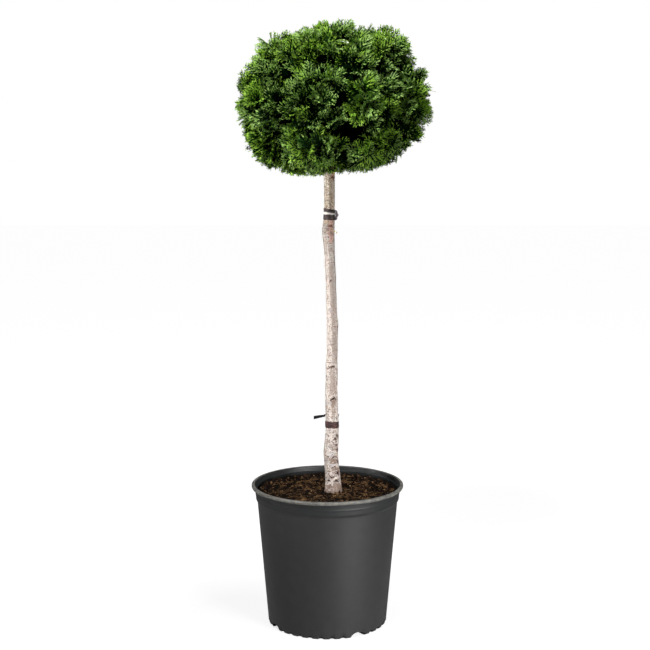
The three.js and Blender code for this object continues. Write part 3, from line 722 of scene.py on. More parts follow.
def make_trunk(trunk):
    height = trunk.z[:, None] + np.zeros(TRUNK_SIDES)
    bearing = all_round(TRUNK_SIDES)[None, :] + np.zeros(height.shape)
    relief = bark_relief(bearing, height, trunk.foot)
    wander = Grain(31, 30, 2.4)(bearing, height)
    tone, fine, strands = bark_tones(trunk.foot, bearing, height)
    for mark in MARKS:
        z, _, half_width, half_height, _, depth, name = mark
        near = mark_near(mark, bearing, height, wander)
        relief += depth * near
        # Stains, painted shade and painted highlights get soft dithered edges; umber and rust marks get a tan
        # rim round a dark middle.
        stain_and_painted_light = name not in ("umber", "rust")
        soft = strands if half_height > TALL_MARK else fine
        tone[near > (0.45 if stain_and_painted_light else 0.2) + 0.5 * soft] = TONES.index(name if stain_and_painted_light else "tan")
        if not stain_and_painted_light:
            tone[near > 0.4 + 0.25 * fine] = TONES.index(name)
        if half_width > WIDE_MARK and name == "umber":
            highlight_lip = mark_near((z + half_height * 2.1, *mark[1:]), bearing, height, wander)
            relief += 0.45 * highlight_lip
            # The raised lip is painted pale: a painted highlight.
            tone[highlight_lip > 0.5 + 0.3 * fine] = TONES.index("pale")
    for band in BANDS:
        low, high = corner(band, 0)[2], corner(band, 1)[2]
        under = smooth_step(low - 2, low, height) * (1 - smooth_step(high, high + 2, height))
        relief = blend(relief, -0.25, under)
    points = trunk.bark_point(height, bearing, relief).reshape(-1, 3)
    settings = {"stretch": (1, 1, 0.4), "bump": 0.0002, "bump_cells": 300, "Specular_IOR_Level": 0.25}
    barks = [patterned(f"bark_{t}", tones, cells, 0.82, **settings) for t, (cells, tones) in BARKS.items()]
    faces = capped_skin(len(trunk.z), TRUNK_SIDES)
    add_piece("trunk_bark", points, faces, barks, "bark", ["trunk"], dealt=[*tone[:-1].reshape(-1), 0, 0])


# -------------------- ties

# The tapes' colours, cells to a metre and roughness.
TAPES = {
    "tape_brown": ([(20, 13, 12), (44, 31, 27), (104, 84, 78)], 170, 0.6),
    "tape_red": ([(14, 4, 4), (42, 11, 11), (96, 60, 54)], 120, 0.7),
    "tape_white": ([(214, 206, 200), (240, 235, 230)], 200, 0.6),
}
# Each band's tape, how much higher it is on one side, and how far its lower hem is drawn up.
WRAPS = [("tape_brown", 1.8, 0), ("tape_brown", 0.3, 0), ("tape_red", 0.3, 1.2)]
TAPE = {"rows": 15, "inset": 0.15, "thick": 0.7}
WHITE = {"below": 4.6, "above": 3.2, "slant": 0.8, "thick": 0.4}  # the white tape between the upper two
KNOT = {"z": 755.0, "bearing": 352.0, "loops": [(5.0, 1.6, 1.9), (0.0, 2.6, 2.7), (-5.5, 1.2, 2.1)]}
TAG = {"z": 726.0, "bearing": 338.0}
STRAP = {"below": 2.2, "thick": 2.4, "off": 0.8, "half_height": 2.0, "end_half_height": 3.1, "points": 24}
STRAP_OUTLINE = [(-1, -0.6), (-0.6, -1), (0.6, -1), (1, -0.6), (1, 0.6), (0.6, 1), (-0.6, 1), (-1, 0.6)]


def band_skin(trunk, low, high, slant, thick, seed):
    """A wrapped tape that follows the bark, creased along its length, its edges a little ragged."""
    rows, bearing = TAPE["rows"], all_round(TRUNK_SIDES)
    creases, ragged = Grain(seed, 14, 2.2), Grain(seed + 1, 24, 50)
    level = lambda share: blend(low, high, share) - slant * np.cos(bearing)
    rings = []
    for n in range(rows):
        share = n / (rows - 1)
        edge = ragged(bearing, 60.0 * round(share)) * 0.5
        z = level(share) + edge * abs(2 * share - 1)
        swell = math.sin(math.pi * share) ** 0.3 * thick
        out = TAPE["inset"] + swell * (0.8 + 0.2 * creases(bearing, z)) + 0.12 * creases(bearing, z * 3)
        rings.append(trunk.bark_point(z, bearing, out))
    for n in range(rows - 1, -1, -rows // 2):
        rings.append(trunk.bark_point(level(n / (rows - 1)), bearing, np.zeros(TRUNK_SIDES)))
    faces = skin(len(rings) + 1, TRUNK_SIDES) % (len(rings) * TRUNK_SIDES)
    return np.array(rings).reshape(-1, 3), faces


def make_ties(trunk):
    along = {"stretch": (1, 1, 4), "bump": 0.0003}
    tapes = {name: patterned(name, *looks, **along) for name, looks in TAPES.items()}
    for n, (band, (tape, slant, hem)) in enumerate(zip(BANDS, WRAPS)):
        low, high = corner(band, 0)[2], corner(band, 1)[2]
        wrap = band_skin(trunk, low + slant + hem, high - slant, slant, TAPE["thick"], 40 + 3 * n)
        add_piece(band.replace("band", "tape"), *wrap, [tapes[tape]], "tie", [band])
    low, high = corner(BANDS[1], 1)[2] - WHITE["below"], corner(BANDS[0], 0)[2] + WHITE["above"]
    wrap = band_skin(trunk, low, high, WHITE["slant"], WHITE["thick"], 60)
    add_piece("tie_tape_white", *wrap, [tapes["tape_white"]], "tie")

    knot = Skins()
    at = trunk.spot(KNOT, 0.6)
    for rise, lean, size in KNOT["loops"]:
        middle = at + np.array([lean, -0.4, rise])
        curve = bezier(middle + [-1.5, -2.5, 3.6], middle + [3.4, 0, 0], middle + [-1.5, 2.5, -3.6], 9)
        knot.add(*tube(curve, size * np.sin(np.linspace(0.5, math.pi - 0.5, 9)), 10))
    lilac = patterned("tape_lilac", [(122, 106, 114), (172, 158, 166)], 260, 0.6, bump=0.0003)
    knot.piece("tie_knot", [lilac], "tie")


def make_strap(trunk):
    """A flat strap round the back of the trunk, whose cut end stands out to the left."""
    rubber = patterned("strap_rubber", [(5, 4, 7), (12, 9, 17)], 150, 0.7, Specular_IOR_Level=0.2)
    z, thick, count = corner("tie_strap", 1)[2] - STRAP["below"], STRAP["thick"], STRAP["points"]
    off = np.full(count, STRAP["off"] + thick / 2)
    wrap = trunk.bark_point(np.full(count, z), np.linspace(28, 180, count) * DEG, off)
    start = wrap[-1]
    end = np.array([corner("tie_strap", 0)[0] + 0.4, start[1] - 2.2, z - 3.0])
    tail = bezier(start, start + [-6, -2.6, 0], end, 12)[1:]
    curve = np.concatenate([wrap, tail])
    out = unit(np.cross(unit(np.gradient(curve, axis=0)), UP))
    half, end_half = STRAP["half_height"], STRAP["end_half_height"]
    half_height = np.concatenate([np.full(count, half), np.linspace(half, end_half, len(tail))])[:, None]
    rings = [curve + out * x * thick / 2 + UP * z * half_height for x, z in STRAP_OUTLINE]
    points = np.stack(rings, axis=1).reshape(-1, 3)
    faces = capped_skin(len(curve), len(STRAP_OUTLINE))
    add_piece("strap_end", points, faces, [rubber], "strap", ["tie_strap"], smooth=False)


def make_tag(trunk):
    """The pale end of the budding tape, left at the graft."""
    yellow = patterned("budding_tape", [(238, 226, 160), (252, 246, 204)], 200, 0.5, bump=0.0001)
    at = trunk.spot(TAG, 0.2)
    curve = bezier(at + [-5.5, -1.6, 1.6], at + [0.5, -1.4, 2.0], at + [5.0, -0.6, -3.4], 10)
    add_piece("budding_tape_end", *tube(curve, np.linspace(0.9, 1.5, 10), 6), [yellow], "tie")


# -------------------- the crown's rule, as the source states it

CENTRE = np.array([9.0, 0.0, 955.0])
CROWN = {"radius": 183, "up": 157, "down": 135, "roundness": 2.6, "tilt": 6}
WHORLS = [  # the lower, the middle and the upper one
    {"count": 6, "elevation": -36, "turn": 10, "foot": 896, "stagger": 5, "reach": 0.985},
    {"count": 8, "elevation": 4, "turn": 31, "foot": 928, "stagger": 6, "reach": 1},
    {"count": 6, "elevation": 43, "turn": 4, "foot": 958, "stagger": 6, "reach": 0.985},
]
JITTER = {"bearing": 8, "elevation": 7, "reach": 0.03}
TOP_MASS = {"bearing": 2.4, "elevation": 84 * DEG}
SEED = 20263
WIDEST, OPENING_STEPS = 62 * DEG, 40
SPACE_GAP = 2.2
BOUGH = {"foot_radius": 3.2, "tip_radius": 2.0, "bend": 30, "end": 62}
STEM_END = 90  # where a mass's stem parts into twigs, from the crown's centre


class Seeded:
    """The source's repeatable random numbers from 0 to 1."""

    def __init__(self, seed):
        self.state = (seed + 1) * 747796405 % 2**32

    def __call__(self):
        self.state = (self.state * 1664525 + 1013904223) % 2**32
        return self.state / 2**32

    def swing(self, size):
        return (self() * 2 - 1) * size


def direction_from(bearing, elevation):
    return outwards(bearing) * math.cos(elevation) + UP * math.sin(elevation)


def crown_reach(directions):
    """How far the crown reaches from its centre in each direction."""
    tilt = CROWN["tilt"] * DEG
    x = directions[..., 0] * math.cos(tilt) + directions[..., 2] * math.sin(tilt)
    z = directions[..., 2] * math.cos(tilt) - directions[..., 0] * math.sin(tilt)
    flat = np.hypot(x, directions[..., 1]) / CROWN["radius"]
    tall = np.abs(z) / np.where(z > 0, CROWN["up"], CROWN["down"])
    n = CROWN["roundness"]
    return (flat**n + tall**n) ** (-1 / n)


def place_masses():
    """Each mass's direction from the crown's centre, its reach, and the height of its bough's foot."""
    random = Seeded(SEED)
    places = []
    for whorl in WHORLS:
        for n in range(whorl["count"]):
            bearing = (whorl["turn"] + 360 * n / whorl["count"] + random.swing(JITTER["bearing"])) * DEG
            elevation = (whorl["elevation"] + random.swing(JITTER["elevation"])) * DEG
            reach = whorl["reach"] + random.swing(JITTER["reach"])
            foot = whorl["foot"] + (whorl["stagger"] if n % 2 else -whorl["stagger"])
            places.append({"direction": direction_from(bearing, elevation), "reach": reach, "foot": foot})
    places.append({"direction": direction_from(**TOP_MASS), "reach": 1, "foot": None})
    for place in places:
        others = [other["direction"] for other in places if other is not place]
        place["planes"] = unit(np.array(others) - place["direction"])
        direction = place["direction"]
        place["half"] = inside_by(place, CENTRE + direction * crown_reach(direction))
    return places


def inside_by(place, points):
    """How far each point is behind the planes that bound the mass's space."""
    return -((points - CENTRE) @ place["planes"].T).max(axis=-1)


def turned(place, side, angle):
    """A direction turned away from the mass's own, towards the given side of it."""
    across = across_of(place["direction"])
    over = np.cross(place["direction"], across)
    return (
        place["direction"] * math.cos(angle)
        + across * math.sin(angle) * math.cos(side)
        + over * math.sin(angle) * math.sin(side)
    )


def open_angle(place, side, share):
    """The widest angle at which the mass's space still holds a point at that share of the reach."""
    angle = 0.0
    for n in range(1, OPENING_STEPS + 1):
        wider = n / OPENING_STEPS * WIDEST
        direction = turned(place, side, wider)
        point = CENTRE + direction * crown_reach(direction) * place["reach"] * share
        if inside_by(place, point) <= SPACE_GAP / 2:
            break
        angle = wider
    return angle


def share_crown(places, samples=8000):
    """Gives each mass its share of the crown's surface, as small vectors outwards, as long as their areas."""
    n = np.arange(samples) + 0.5
    z = 1 - 2 * n / samples
    bearing = n * GOLDEN_ANGLE
    flat = np.sqrt(1 - z * z)
    directions = np.stack([flat * np.cos(bearing), flat * np.sin(bearing), z], axis=-1)
    nearest = (directions @ np.array([place["direction"] for place in places]).T).argmax(axis=1)
    area = crown_reach(directions) ** 2 * 4 * math.pi / samples
    for n, place in enumerate(places):
        place["surface"] = directions[nearest == n] * area[nearest == n][:, None]


def settled(directions, surface, rounds=5):
    """The directions, each moved to the middle of the part of the surface that is nearest to it."""
    for _ in range(rounds):
        nearest = (surface @ directions.T).argmax(axis=1)
        sums = np.array([surface[nearest == n].sum(axis=0) for n in range(len(directions))])
        directions = unit(sums + directions * 1e-6)
    return directions


# -------------------- sprays

# The same rule carried further: each mass's stem parts into twigs, each twig ends in a tuft of fans, and
# each fan is a cupped sheet of sprays that spread side by side. Lengths are in millimetres.
TUFT = {"spacing": 45.5, "spread": 0.86, "radius": 47, "sizes": (0.8, 1.1), "sink": 6, "lift": 0.65}
SPREAD_AT = 0.8  # the share of the reach at which a mass's space limits its tufts' spread
DOME = 31  # how much lower the foliage is at a mass's edge than the crown's reach
FAN = {"count": 5, "open": 58 * DEG, "out": 0.7, "up": 0.5, "cup": 0.3, "curl": -0.05, "shorter": 0.18}
BLADE = {"count": 5, "spread": 44 * DEG, "shorter": 0.2, "turn": 1.6}
# How far the fans of a tuft, and the sprays of a fan, differ from one another.
FAN_SWAY = {"polar": 0.1, "main": 0.12, "face": 0.45, "tuft": 0.1, "tone": 0.14, "cup": 0.35, "curl": 0.42}
BLADE_SWAY = {"spread": 0.07, "axis": 0.05, "face": 0.12, "tone": 0.05, "roll": 0.2, "curl": 0.08}
SPRAY_SWAY = {"bow": (0.5, 0.7), "twist": (0, 0.28)}
# The coarse sprays inside the crown are dealt the darkest tone: painted shade.
INNER = {"count": 16, "length": (34, 46), "depth": (-50, 8), "scatter": 9, "reach": 0.93, "tone": -2}
RAGGED, INNER_RAGGED = 0.06, 0.3  # how much short of the reach a spray may end
# Steps of tone: a fan's own, and what youth, a mass's edge, each millimetre of height, facing up and a
# tuft's rim add to it. Within a spray: raised and sunk ribs, tips, and from the middle outwards.
# All but a fan's own and youth are painted light and shade: darker at a mass's edge and a tuft's rim,
# lighter higher up and facing up; lighter on raised ribs, tips and the outer part of a spray, darker on
# sunk ribs and its inner part. The lighter tips are partly young growth.
TONE = {"base": 0.43, "young": 0.22, "edge": -0.55, "height": 0.0015, "facing": 0.34, "rim": -0.2}
SHINE = {"raised": 0.3, "sunk": -0.75, "tip": 0.6, "outwards": 0.65}
WARM = [0.2, 0.5, 0.85]  # the share of a tuft's fans that are a warm, yellower green
SPRAY = {"shortest": 28, "longest": 53, "rib_every": 3.7, "step": 3.8, "lobe": 5.8, "wide": 2.5}
COARSE = {"length": 40, "rib_every": 8.0, "step": 8.0, "lobe": 11.0, "wide": 6.5}  # the sprays deep inside
# A lobe leans to one side of its rib. Its foot, its widest and its tip are at these shares of its
# length along the rib, and its foot, its two sides and its tip at these heights.
LOBE = {"lean": 0.34, "span": (-0.45, 0.05, 0.55), "heights": np.array([0.25, -0.3, -0.3, 0.3])}
# Side ribs: the shares of the main rib that they begin at, and their angles in degrees at its ends.
RIBS = {"from": 0.12, "over": 0.8, "angle": 54, "closing": 22, "sunk_long": 0.75, "sunk_wide": 1.15}
LENGTHS, PATTERNS = 6, 3  # how many lengths of spray are drawn, and in how many patterns each
TRUNK_CLEAR, CLEAR_AT = 12.5, 870  # how far sprays keep from the trunk's middle at that height


def rib_lobes(size, start, angle, length, bend, wide, glow):
    """Scale-leaf lobes along one rib of a flat spray, turned out to alternate sides: (count, 4, 3).
    With them, each lobe's step of painted light and shade against its spray; the rib's tip is painted
    lightest, partly as young growth."""
    count = max(1, round(length / size["step"]))
    n = np.arange(count)
    share = (n + 0.5) / count
    heading = angle + bend * share
    walk = np.stack([np.sin(heading), np.cos(heading)], axis=-1) * (length / count)
    middle = start + np.cumsum(walk, axis=0) - walk / 2
    lean = np.where(n % 2, LOBE["lean"], -LOBE["lean"])
    lean[-1] = 0
    along = np.stack([np.sin(heading + lean), np.cos(heading + lean)], axis=-1)
    across = np.stack([along[:, 1], -along[:, 0]], axis=-1)
    half = (size["wide"] / 2 * wide * (1 - 0.25 * share))[:, None]
    long = size["lobe"] * (1 - 0.12 * share)[:, None]
    foot, widest, tip = (middle + along * long * at for at in LOBE["span"])
    flat = np.stack([foot, widest - across * half, widest + across * half, tip], axis=1)
    raised = np.broadcast_to(LOBE["heights"][None, :, None], (count, 4, 1))
    lobes = np.concatenate([flat, raised], axis=2)
    return lobes, glow + SHINE["tip"] * np.clip(1 - (count - 1 - n) * 0.5, 0, 1)


def outline_distance(share, angle, length):
    """How far a side rib may grow: from its fork on the main rib to the spray's rounded outline."""
    half_wide, half_tall, centre = 0.30 * length, 0.48 * length, 0.54 * length
    x, y = math.sin(angle) / half_wide, math.cos(angle) / half_tall
    off = (share * length - centre) / half_tall
    a, b, c = x * x + y * y, 2 * off * y, off * off - 1
    return (-b + math.sqrt(max(0.0, b * b - 4 * a * c))) / (2 * a)


def spray_pattern(size, length, random):
    """The lobes of one flat spray that grows along +Y from its foot, its face towards +Z. Raised ribs of
    lobes painted light stand between sunk ribs of lobes painted dark as shade. With them, how much lighter
    each lobe is painted, with painted shade towards the spray's foot and painted light towards its outline."""
    grown = [rib_lobes(size, np.zeros(2), 0.0, length, random.normal(0, 0.08), 1.0, SHINE["raised"])]
    count = round(RIBS["over"] * length / size["rib_every"])
    for side in (-1, 1):
        for n in range(count):
            raised = n % 2 == 0
            share = RIBS["from"] + RIBS["over"] * (n + (0.5 if side > 0 else 0)) / count
            angle = side * (RIBS["angle"] - RIBS["closing"] * share) * DEG * random.uniform(0.9, 1.1)
            grown_by = random.uniform(0.8, 1.2) if raised else RIBS["sunk_long"]
            long = outline_distance(share, angle, length) * grown_by
            glow = SHINE["raised" if raised else "sunk"] + random.normal(0, 0.05)
            start, bend = np.array([0, share * length]), -side * random.uniform(0.1, 0.4)
            wide = 1.0 if raised else RIBS["sunk_wide"]
            grown.append(rib_lobes(size, start, angle, long, bend, wide, glow))
    lobes, glow = (np.concatenate(parts) for parts in zip(*grown))
    tilt = random.normal(0, 0.5, len(lobes))
    lobes[:, 1, 2] += tilt
    lobes[:, 2, 2] -= tilt
    lobes[:, 3, 2] += random.normal(0.2, 0.9, len(lobes))
    outer = np.hypot(lobes[:, 3, 0], lobes[:, 3, 1]) / length
    return lobes, glow + SHINE["outwards"] * (smooth_step(0.1, 0.9, outer) - 0.6)


def bent(pattern, length, sprays):
    """One pattern as many sprays, each bowed across, curled along, twisted and set in its place."""
    x, y, z = (pattern[None, ..., axis] for axis in range(3))
    bow, curl, twist, grow = (sprays[key][:, None, None] for key in ("bow", "curl", "twist", "grow"))
    foot, axis, face = (sprays[key][:, None, None, :] for key in ("foot", "axis", "face"))
    share = y / length
    twist = twist * share
    z = z + (bow * x**2 - curl * y**2) / length
    y = y * (1 - 0.45 * curl**2 * share**2) - 0.3 * np.abs(bow) * x**2 / length * share
    x, z = x * np.cos(twist) - z * np.sin(twist), x * np.sin(twist) + z * np.cos(twist)
    spread = x[..., None] * np.cross(axis, face) + y[..., None] * axis + z[..., None] * face
    return foot + grow[..., None] * spread


class Crown:
    """Grows every twig and spray, and keeps the lobes with the tone that each is dealt."""

    def __init__(self, trunk):
        self.trunk = trunk
        self.random = np.random.default_rng(SEED + 1)
        self.filling = np.random.default_rng(SEED)
        self.twigs = Skins()
        self.stalks = []  # each spray's stalk, as its two ends
        self.sprays = []
        self.places = place_masses()
        share_crown(self.places)
        for n, place in enumerate(self.places):
            area = np.linalg.norm(place["surface"], axis=1).sum()
            self.grow_mass(place, round(area / TUFT["spacing"] ** 2), Seeded(SEED + 101 * (n + 1)))

    def grow_mass(self, place, count, seeded):
        direction = place["direction"]
        foot = CENTRE + direction * BOUGH["end"] if place["foot"] else self.trunk.at(self.trunk.tip)
        fork = CENTRE + direction * STEM_END
        self.twigs.add(*tube(np.linspace(foot, fork, 4), np.array([2.0, 1.9, 1.9, 1.8]), 6))
        start = seeded() * FULL_TURN
        twigs = []
        for n in range(count):
            side = start + n * GOLDEN_ANGLE
            angle = open_angle(place, side, SPREAD_AT) * math.sqrt((n + 0.4) / count) * TUFT["spread"]
            twigs.append(turned(place, side, angle))
        for twig in settled(np.array(twigs), place["surface"]):
            self.grow_tuft(place, fork, twig)

    def grow_tuft(self, place, fork, out):
        random = self.random
        size = TUFT["radius"] * random.uniform(*TUFT["sizes"])
        tip = CENTRE + out * crown_reach(out) * place["reach"]
        edge = 1 - min(1, inside_by(place, tip) / place["half"])
        fall = DOME * (1 - smooth_step(0.6, 0.85, -out[2]))
        tip -= out * (fall * edge**2 + random.uniform(0, TUFT["sink"]))
        leaning = unit(unit(tip - fork) + UP * TUFT["lift"] + random.normal(0, 0.12, 3))
        head = tip - leaning * size
        stem = bezier(fork - out * 4, blend(fork, head, 0.5) - UP * 8, head, 7)
        self.twigs.add(*tube(stem, np.linspace(1.7, 0.9, 7), 5))
        height = (tip - CENTRE)[2] - place["direction"][2] * crown_reach(place["direction"])
        self.grow_fans(place["reach"], head, leaning, out, size, edge, height)
        self.fill_inside(place["reach"], head, out)

    def grow_fans(self, limit, head, leaning, out, size, edge, height):
        """The fans of one tuft, which open round its leaning direction."""
        random, fans, blades, sway = self.random, FAN["count"], BLADE["count"], FAN_SWAY
        shape, count = (fans, blades), fans * blades
        n = np.arange(fans)
        polar = FAN["open"] * np.sqrt((n + 0.5) / fans) + random.normal(0, sway["polar"], fans)
        turn = n * GOLDEN_ANGLE + random.uniform(0, FULL_TURN)
        across = across_of(leaning)
        main = circle(leaning, circle(across, np.cross(leaning, across), turn), polar)
        main = unit(main + random.normal(0, sway["main"], (fans, 3)))
        rim = (polar / FAN["open"]) ** 2
        reach = size * random.uniform(0.86, 1.06, fans) * (1 - FAN["shorter"] * rim)
        length = np.clip(reach * random.uniform(0.9, 1.0, fans), SPRAY["shortest"], SPRAY["longest"])
        face = out * FAN["out"] + UP * FAN["up"] + random.normal(0, sway["face"], (fans, 3))
        face = square_to(main, face)
        side = np.cross(main, face)
        young = random.random() < 0.1 + 0.2 * (out[2] > 0.3)
        # Painted light and shade: darker at a mass's edge, lighter higher in the mass.
        base = TONE["base"] + TONE["young"] * young + TONE["edge"] * edge + TONE["height"] * height
        tone = random.normal(base + random.normal(0, sway["tuft"]), sway["tone"], fans)
        # Painted light and shade: lighter facing up, darker at the tuft's rim.
        tone = tone + TONE["facing"] * (main[:, 2] - leaning[2]) + TONE["rim"] * rim
        cup = random.normal(FAN["cup"], sway["cup"], fans)[:, None]
        curl = random.normal(FAN["curl"], sway["curl"], fans)

        sway = BLADE_SWAY
        spread = BLADE["spread"] * (np.linspace(-1, 1, blades) + random.normal(0, sway["spread"], shape))
        cupped = cup * np.sin(spread) ** 2
        axis = circle(main[:, None], side[:, None], spread) + cupped[..., None] * face[:, None]
        axis = unit(axis + random.normal(0, sway["axis"], axis.shape))
        tipped = side[:, None] * (np.sin(spread) * cup * BLADE["turn"])[..., None]
        face = square_to(axis, face[:, None] - tipped + random.normal(0, sway["face"], axis.shape))
        shorter = 1 - BLADE["shorter"] * (spread / BLADE["spread"]) ** 2
        long = length[:, None] * shorter * random.uniform(0.88, 1.06, shape)
        foot = np.broadcast_to((head + main * (reach - length)[:, None])[:, None], axis.shape)
        tones = tone[:, None] + random.normal(0, sway["tone"], shape)
        warm = np.repeat(random.random(fans) < random.choice(WARM), blades)
        grown = (foot, axis, face, long, tones)
        foot, axis, face, long, tones = (values.reshape(count, *values.shape[2:]) for values in grown)
        face = circle(face, np.cross(axis, face), random.normal(0, sway["roll"], count))
        curl = np.repeat(curl, blades) + random.normal(0, sway["curl"], count)
        self.keep(head, limit, RAGGED, foot, axis, face, long, tones, warm, curl)

    def fill_inside(self, limit, head, out):
        """Coarse sprays at all angles below a tuft, painted dark as shade, which close the view through the
        crown.
        """
        random, count = self.random, INNER["count"]
        axis = unit(out * 0.3 + random.normal(0, 0.6, (count, 3)))
        length = random.uniform(*INNER["length"], count)
        foot = head + out * random.uniform(*INNER["depth"], count)[:, None] - axis * length[:, None] * 0.4
        foot += self.filling.normal(0, INNER["scatter"], (count, 3))
        face = square_to(axis, unit(out + random.normal(0, 0.4, (count, 3))))
        tone, warm = np.full(count, INNER["tone"]), np.zeros(count, bool)
        curl = random.normal(0.3, 0.2, count)
        limit = limit * INNER["reach"]
        self.keep(head, limit, INNER_RAGGED, foot, axis, face, length, tone, warm, curl)

    def keep(self, head, reach, ragged, *values):
        """Keeps sprays, each with a limit of its own, and bowed and twisted its own way."""
        sprays = dict(zip(("foot", "axis", "face", "length", "tone", "warm", "curl"), values))
        count = len(sprays["length"])
        sprays["head"] = np.broadcast_to(head, (count, 3))
        sprays["limit"] = reach * (1 - ragged * self.random.random(count) ** 1.5)
        for key, (middle, sway) in SPRAY_SWAY.items():
            sprays[key] = self.random.normal(middle, sway, count)
        self.sprays.append(sprays)

    def lobes(self):
        """All lobes (count, 4, 3), with the tone of each and whether its spray is a warm green."""
        sprays = {key: np.concatenate([group[key] for group in self.sprays]) for key in self.sprays[0]}
        lengths = np.linspace(SPRAY["shortest"], SPRAY["longest"], LENGTHS)
        nearest = np.abs(sprays["length"][:, None] - lengths).argmin(axis=1)
        inner = sprays["tone"] < INNER["tone"] / 2
        kinds = [(SPRAY, length, ~inner & (nearest == n)) for n, length in enumerate(lengths)]
        kinds.append((COARSE, COARSE["length"], inner))
        found = []
        for number in range(PATTERNS):
            for n, (size, length, alike) in enumerate(kinds):
                chosen = np.flatnonzero(alike & (np.arange(len(inner)) % PATTERNS == number))
                if not len(chosen):
                    continue
                pattern, glow = spray_pattern(size, length, np.random.default_rng(100 + 10 * n + number))
                some = {key: values[chosen] for key, values in sprays.items()}
                some["grow"] = some["length"] / length
                lobes, kept = self.within_reach(bent(pattern, length, some), some)
                tones = (some["tone"][kept][:, None] + glow).reshape(-1)
                found.append((lobes[kept].reshape(-1, 4, 3), tones, np.repeat(some["warm"][kept], len(glow))))
        return [np.concatenate(parts) for parts in zip(*found)]

    def within_reach(self, lobes, sprays):
        """Draws each spray back until its tips are inside its limit, and drops those that meet the trunk."""
        out = lobes - CENTRE
        distance = np.linalg.norm(out, axis=-1)
        over = distance - crown_reach(out / distance[..., None]) * sprays["limit"][:, None, None]
        back = np.clip(over.max(axis=(1, 2)), 0, None)
        shift = unit(CENTRE - sprays["foot"]) * back[:, None]
        lobes = lobes + shift[:, None, None, :]
        middle = self.trunk.at(CLEAR_AT)
        flat = np.hypot(lobes[..., 0] - middle[0], lobes[..., 1] - middle[1])
        clear = (flat > TRUNK_CLEAR).all(axis=(1, 2)) | (sprays["foot"][:, 2] > self.trunk.tip)
        ends = sprays["foot"] + shift + sprays["axis"] * sprays["length"][:, None] * 0.4
        self.stalks.append(np.stack([sprays["head"], ends], axis=1)[clear])
        return lobes, clear


def slim_cones(lines, radius):
    """A closed three-sided cone along each line."""
    start, end = lines[:, 0], lines[:, 1]
    along = unit(end - start)
    across = across_of(along)
    ring = circle(across[:, None], np.cross(along, across)[:, None], all_round(3))
    points = np.concatenate([start[:, None] + ring * radius, end[:, None]], axis=1).reshape(-1, 3)
    first = 4 * np.arange(len(lines))[:, None, None]
    return points, (first + np.array([[0, 1, 3], [1, 2, 3], [2, 0, 3], [0, 2, 1]])).reshape(-1, 3)


# Each tone's name, lowest step and sheen, the colours of its warm sprays and those of its cool ones.
# The tones are lit and shaded copies of one green: inner and deep are painted shade, fresh_and_lit and
# bright painted light, partly young growth; the shaded tones have little sheen.
FOLIAGE_TONES = [
    ("inner", -9.0, 0.0, [(5, 19, 3), (11, 31, 5)], [(5, 18, 5), (11, 29, 9)]),
    ("deep", -0.8, 0.04, [(7, 28, 2), (15, 43, 5)], [(7, 27, 5), (14, 40, 11)]),
    ("green", 0.3, 0.12, [(20, 55, 5), (34, 77, 9)], [(19, 52, 10), (31, 72, 17)]),
    ("fresh_and_lit", 0.48, 0.2, [(68, 115, 18), (96, 141, 32)], [(65, 109, 31), (91, 133, 49)]),
    ("bright", 0.66, 0.2, [(142, 195, 54), (178, 219, 90)], [(148, 195, 86), (184, 219, 126)]),
]
MOST_TRIANGLES = 190000
MASS_NODES = [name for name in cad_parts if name.startswith("mass_")]
BOUGH_NODES = [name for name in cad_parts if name.startswith("bough_")]
STALK_RADIUS = 0.75


def make_foliage(trunk):
    crown = Crown(trunk)
    lobes, tones, warm = crown.lobes()
    tone_of = np.digitize(tones, [lowest for _, lowest, *_ in FOLIAGE_TONES[1:]])
    two = np.array([[0, 1, 3], [0, 3, 2]])
    for n, (name, _, sheen, warm_greens, cool_greens) in enumerate(FOLIAGE_TONES):
        for family, greens in (("cool", cool_greens), ("warm", warm_greens)):
            label = f"foliage_{name}_{family}"
            green = patterned(label, greens, 90, 0.45, Specular_IOR_Level=sheen)
            chosen = lobes[(tone_of == n) & (warm == (family == "warm"))]
            parts = max(1, math.ceil(len(chosen) * 2 / MOST_TRIANGLES))
            for part, group in enumerate(np.array_split(chosen, parts)):
                mesh = group.reshape(-1, 3), (4 * np.arange(len(group))[:, None, None] + two).reshape(-1, 3)
                add_piece(f"{label}_{part + 1}", *mesh, [green], "foliage", MASS_NODES, smooth=False)
    wood = patterned("twig_bark", [(74, 56, 34), (108, 84, 50)], 200, 0.8, bump=0.0002)
    crown.twigs.piece("twigs", [wood], "bough", MASS_NODES)
    green_wood = patterned("green_twig", [(62, 78, 30), (92, 96, 44)], 200, 0.7)
    stalks = slim_cones(np.concatenate(crown.stalks), STALK_RADIUS)
    add_piece("spray_stalks", *stalks, [green_wood], "foliage", MASS_NODES, smooth=False)
    return crown.places


# -------------------- boughs

SIDE_SHOOT = {"z": 824.0, "bearing": 318 * DEG, "radius": 4.2}  # the lowest branch, under the crown's edge
LIMB_ROWS = 26


def limb_with_relief(curve, radii, sides, seed):
    points, faces = tube(curve, radii, sides)
    turn = np.tile(all_round(sides), len(curve))
    along = np.repeat(np.arange(len(curve)) * 2.0, sides)
    out = points - np.repeat(curve, sides, axis=0)
    relief = 0.09 * Grain(seed, 6, 7)(turn, along) + 0.06 * Grain(seed + 1, 9, 2.6)(turn, along)
    return points + out * relief[:, None], faces


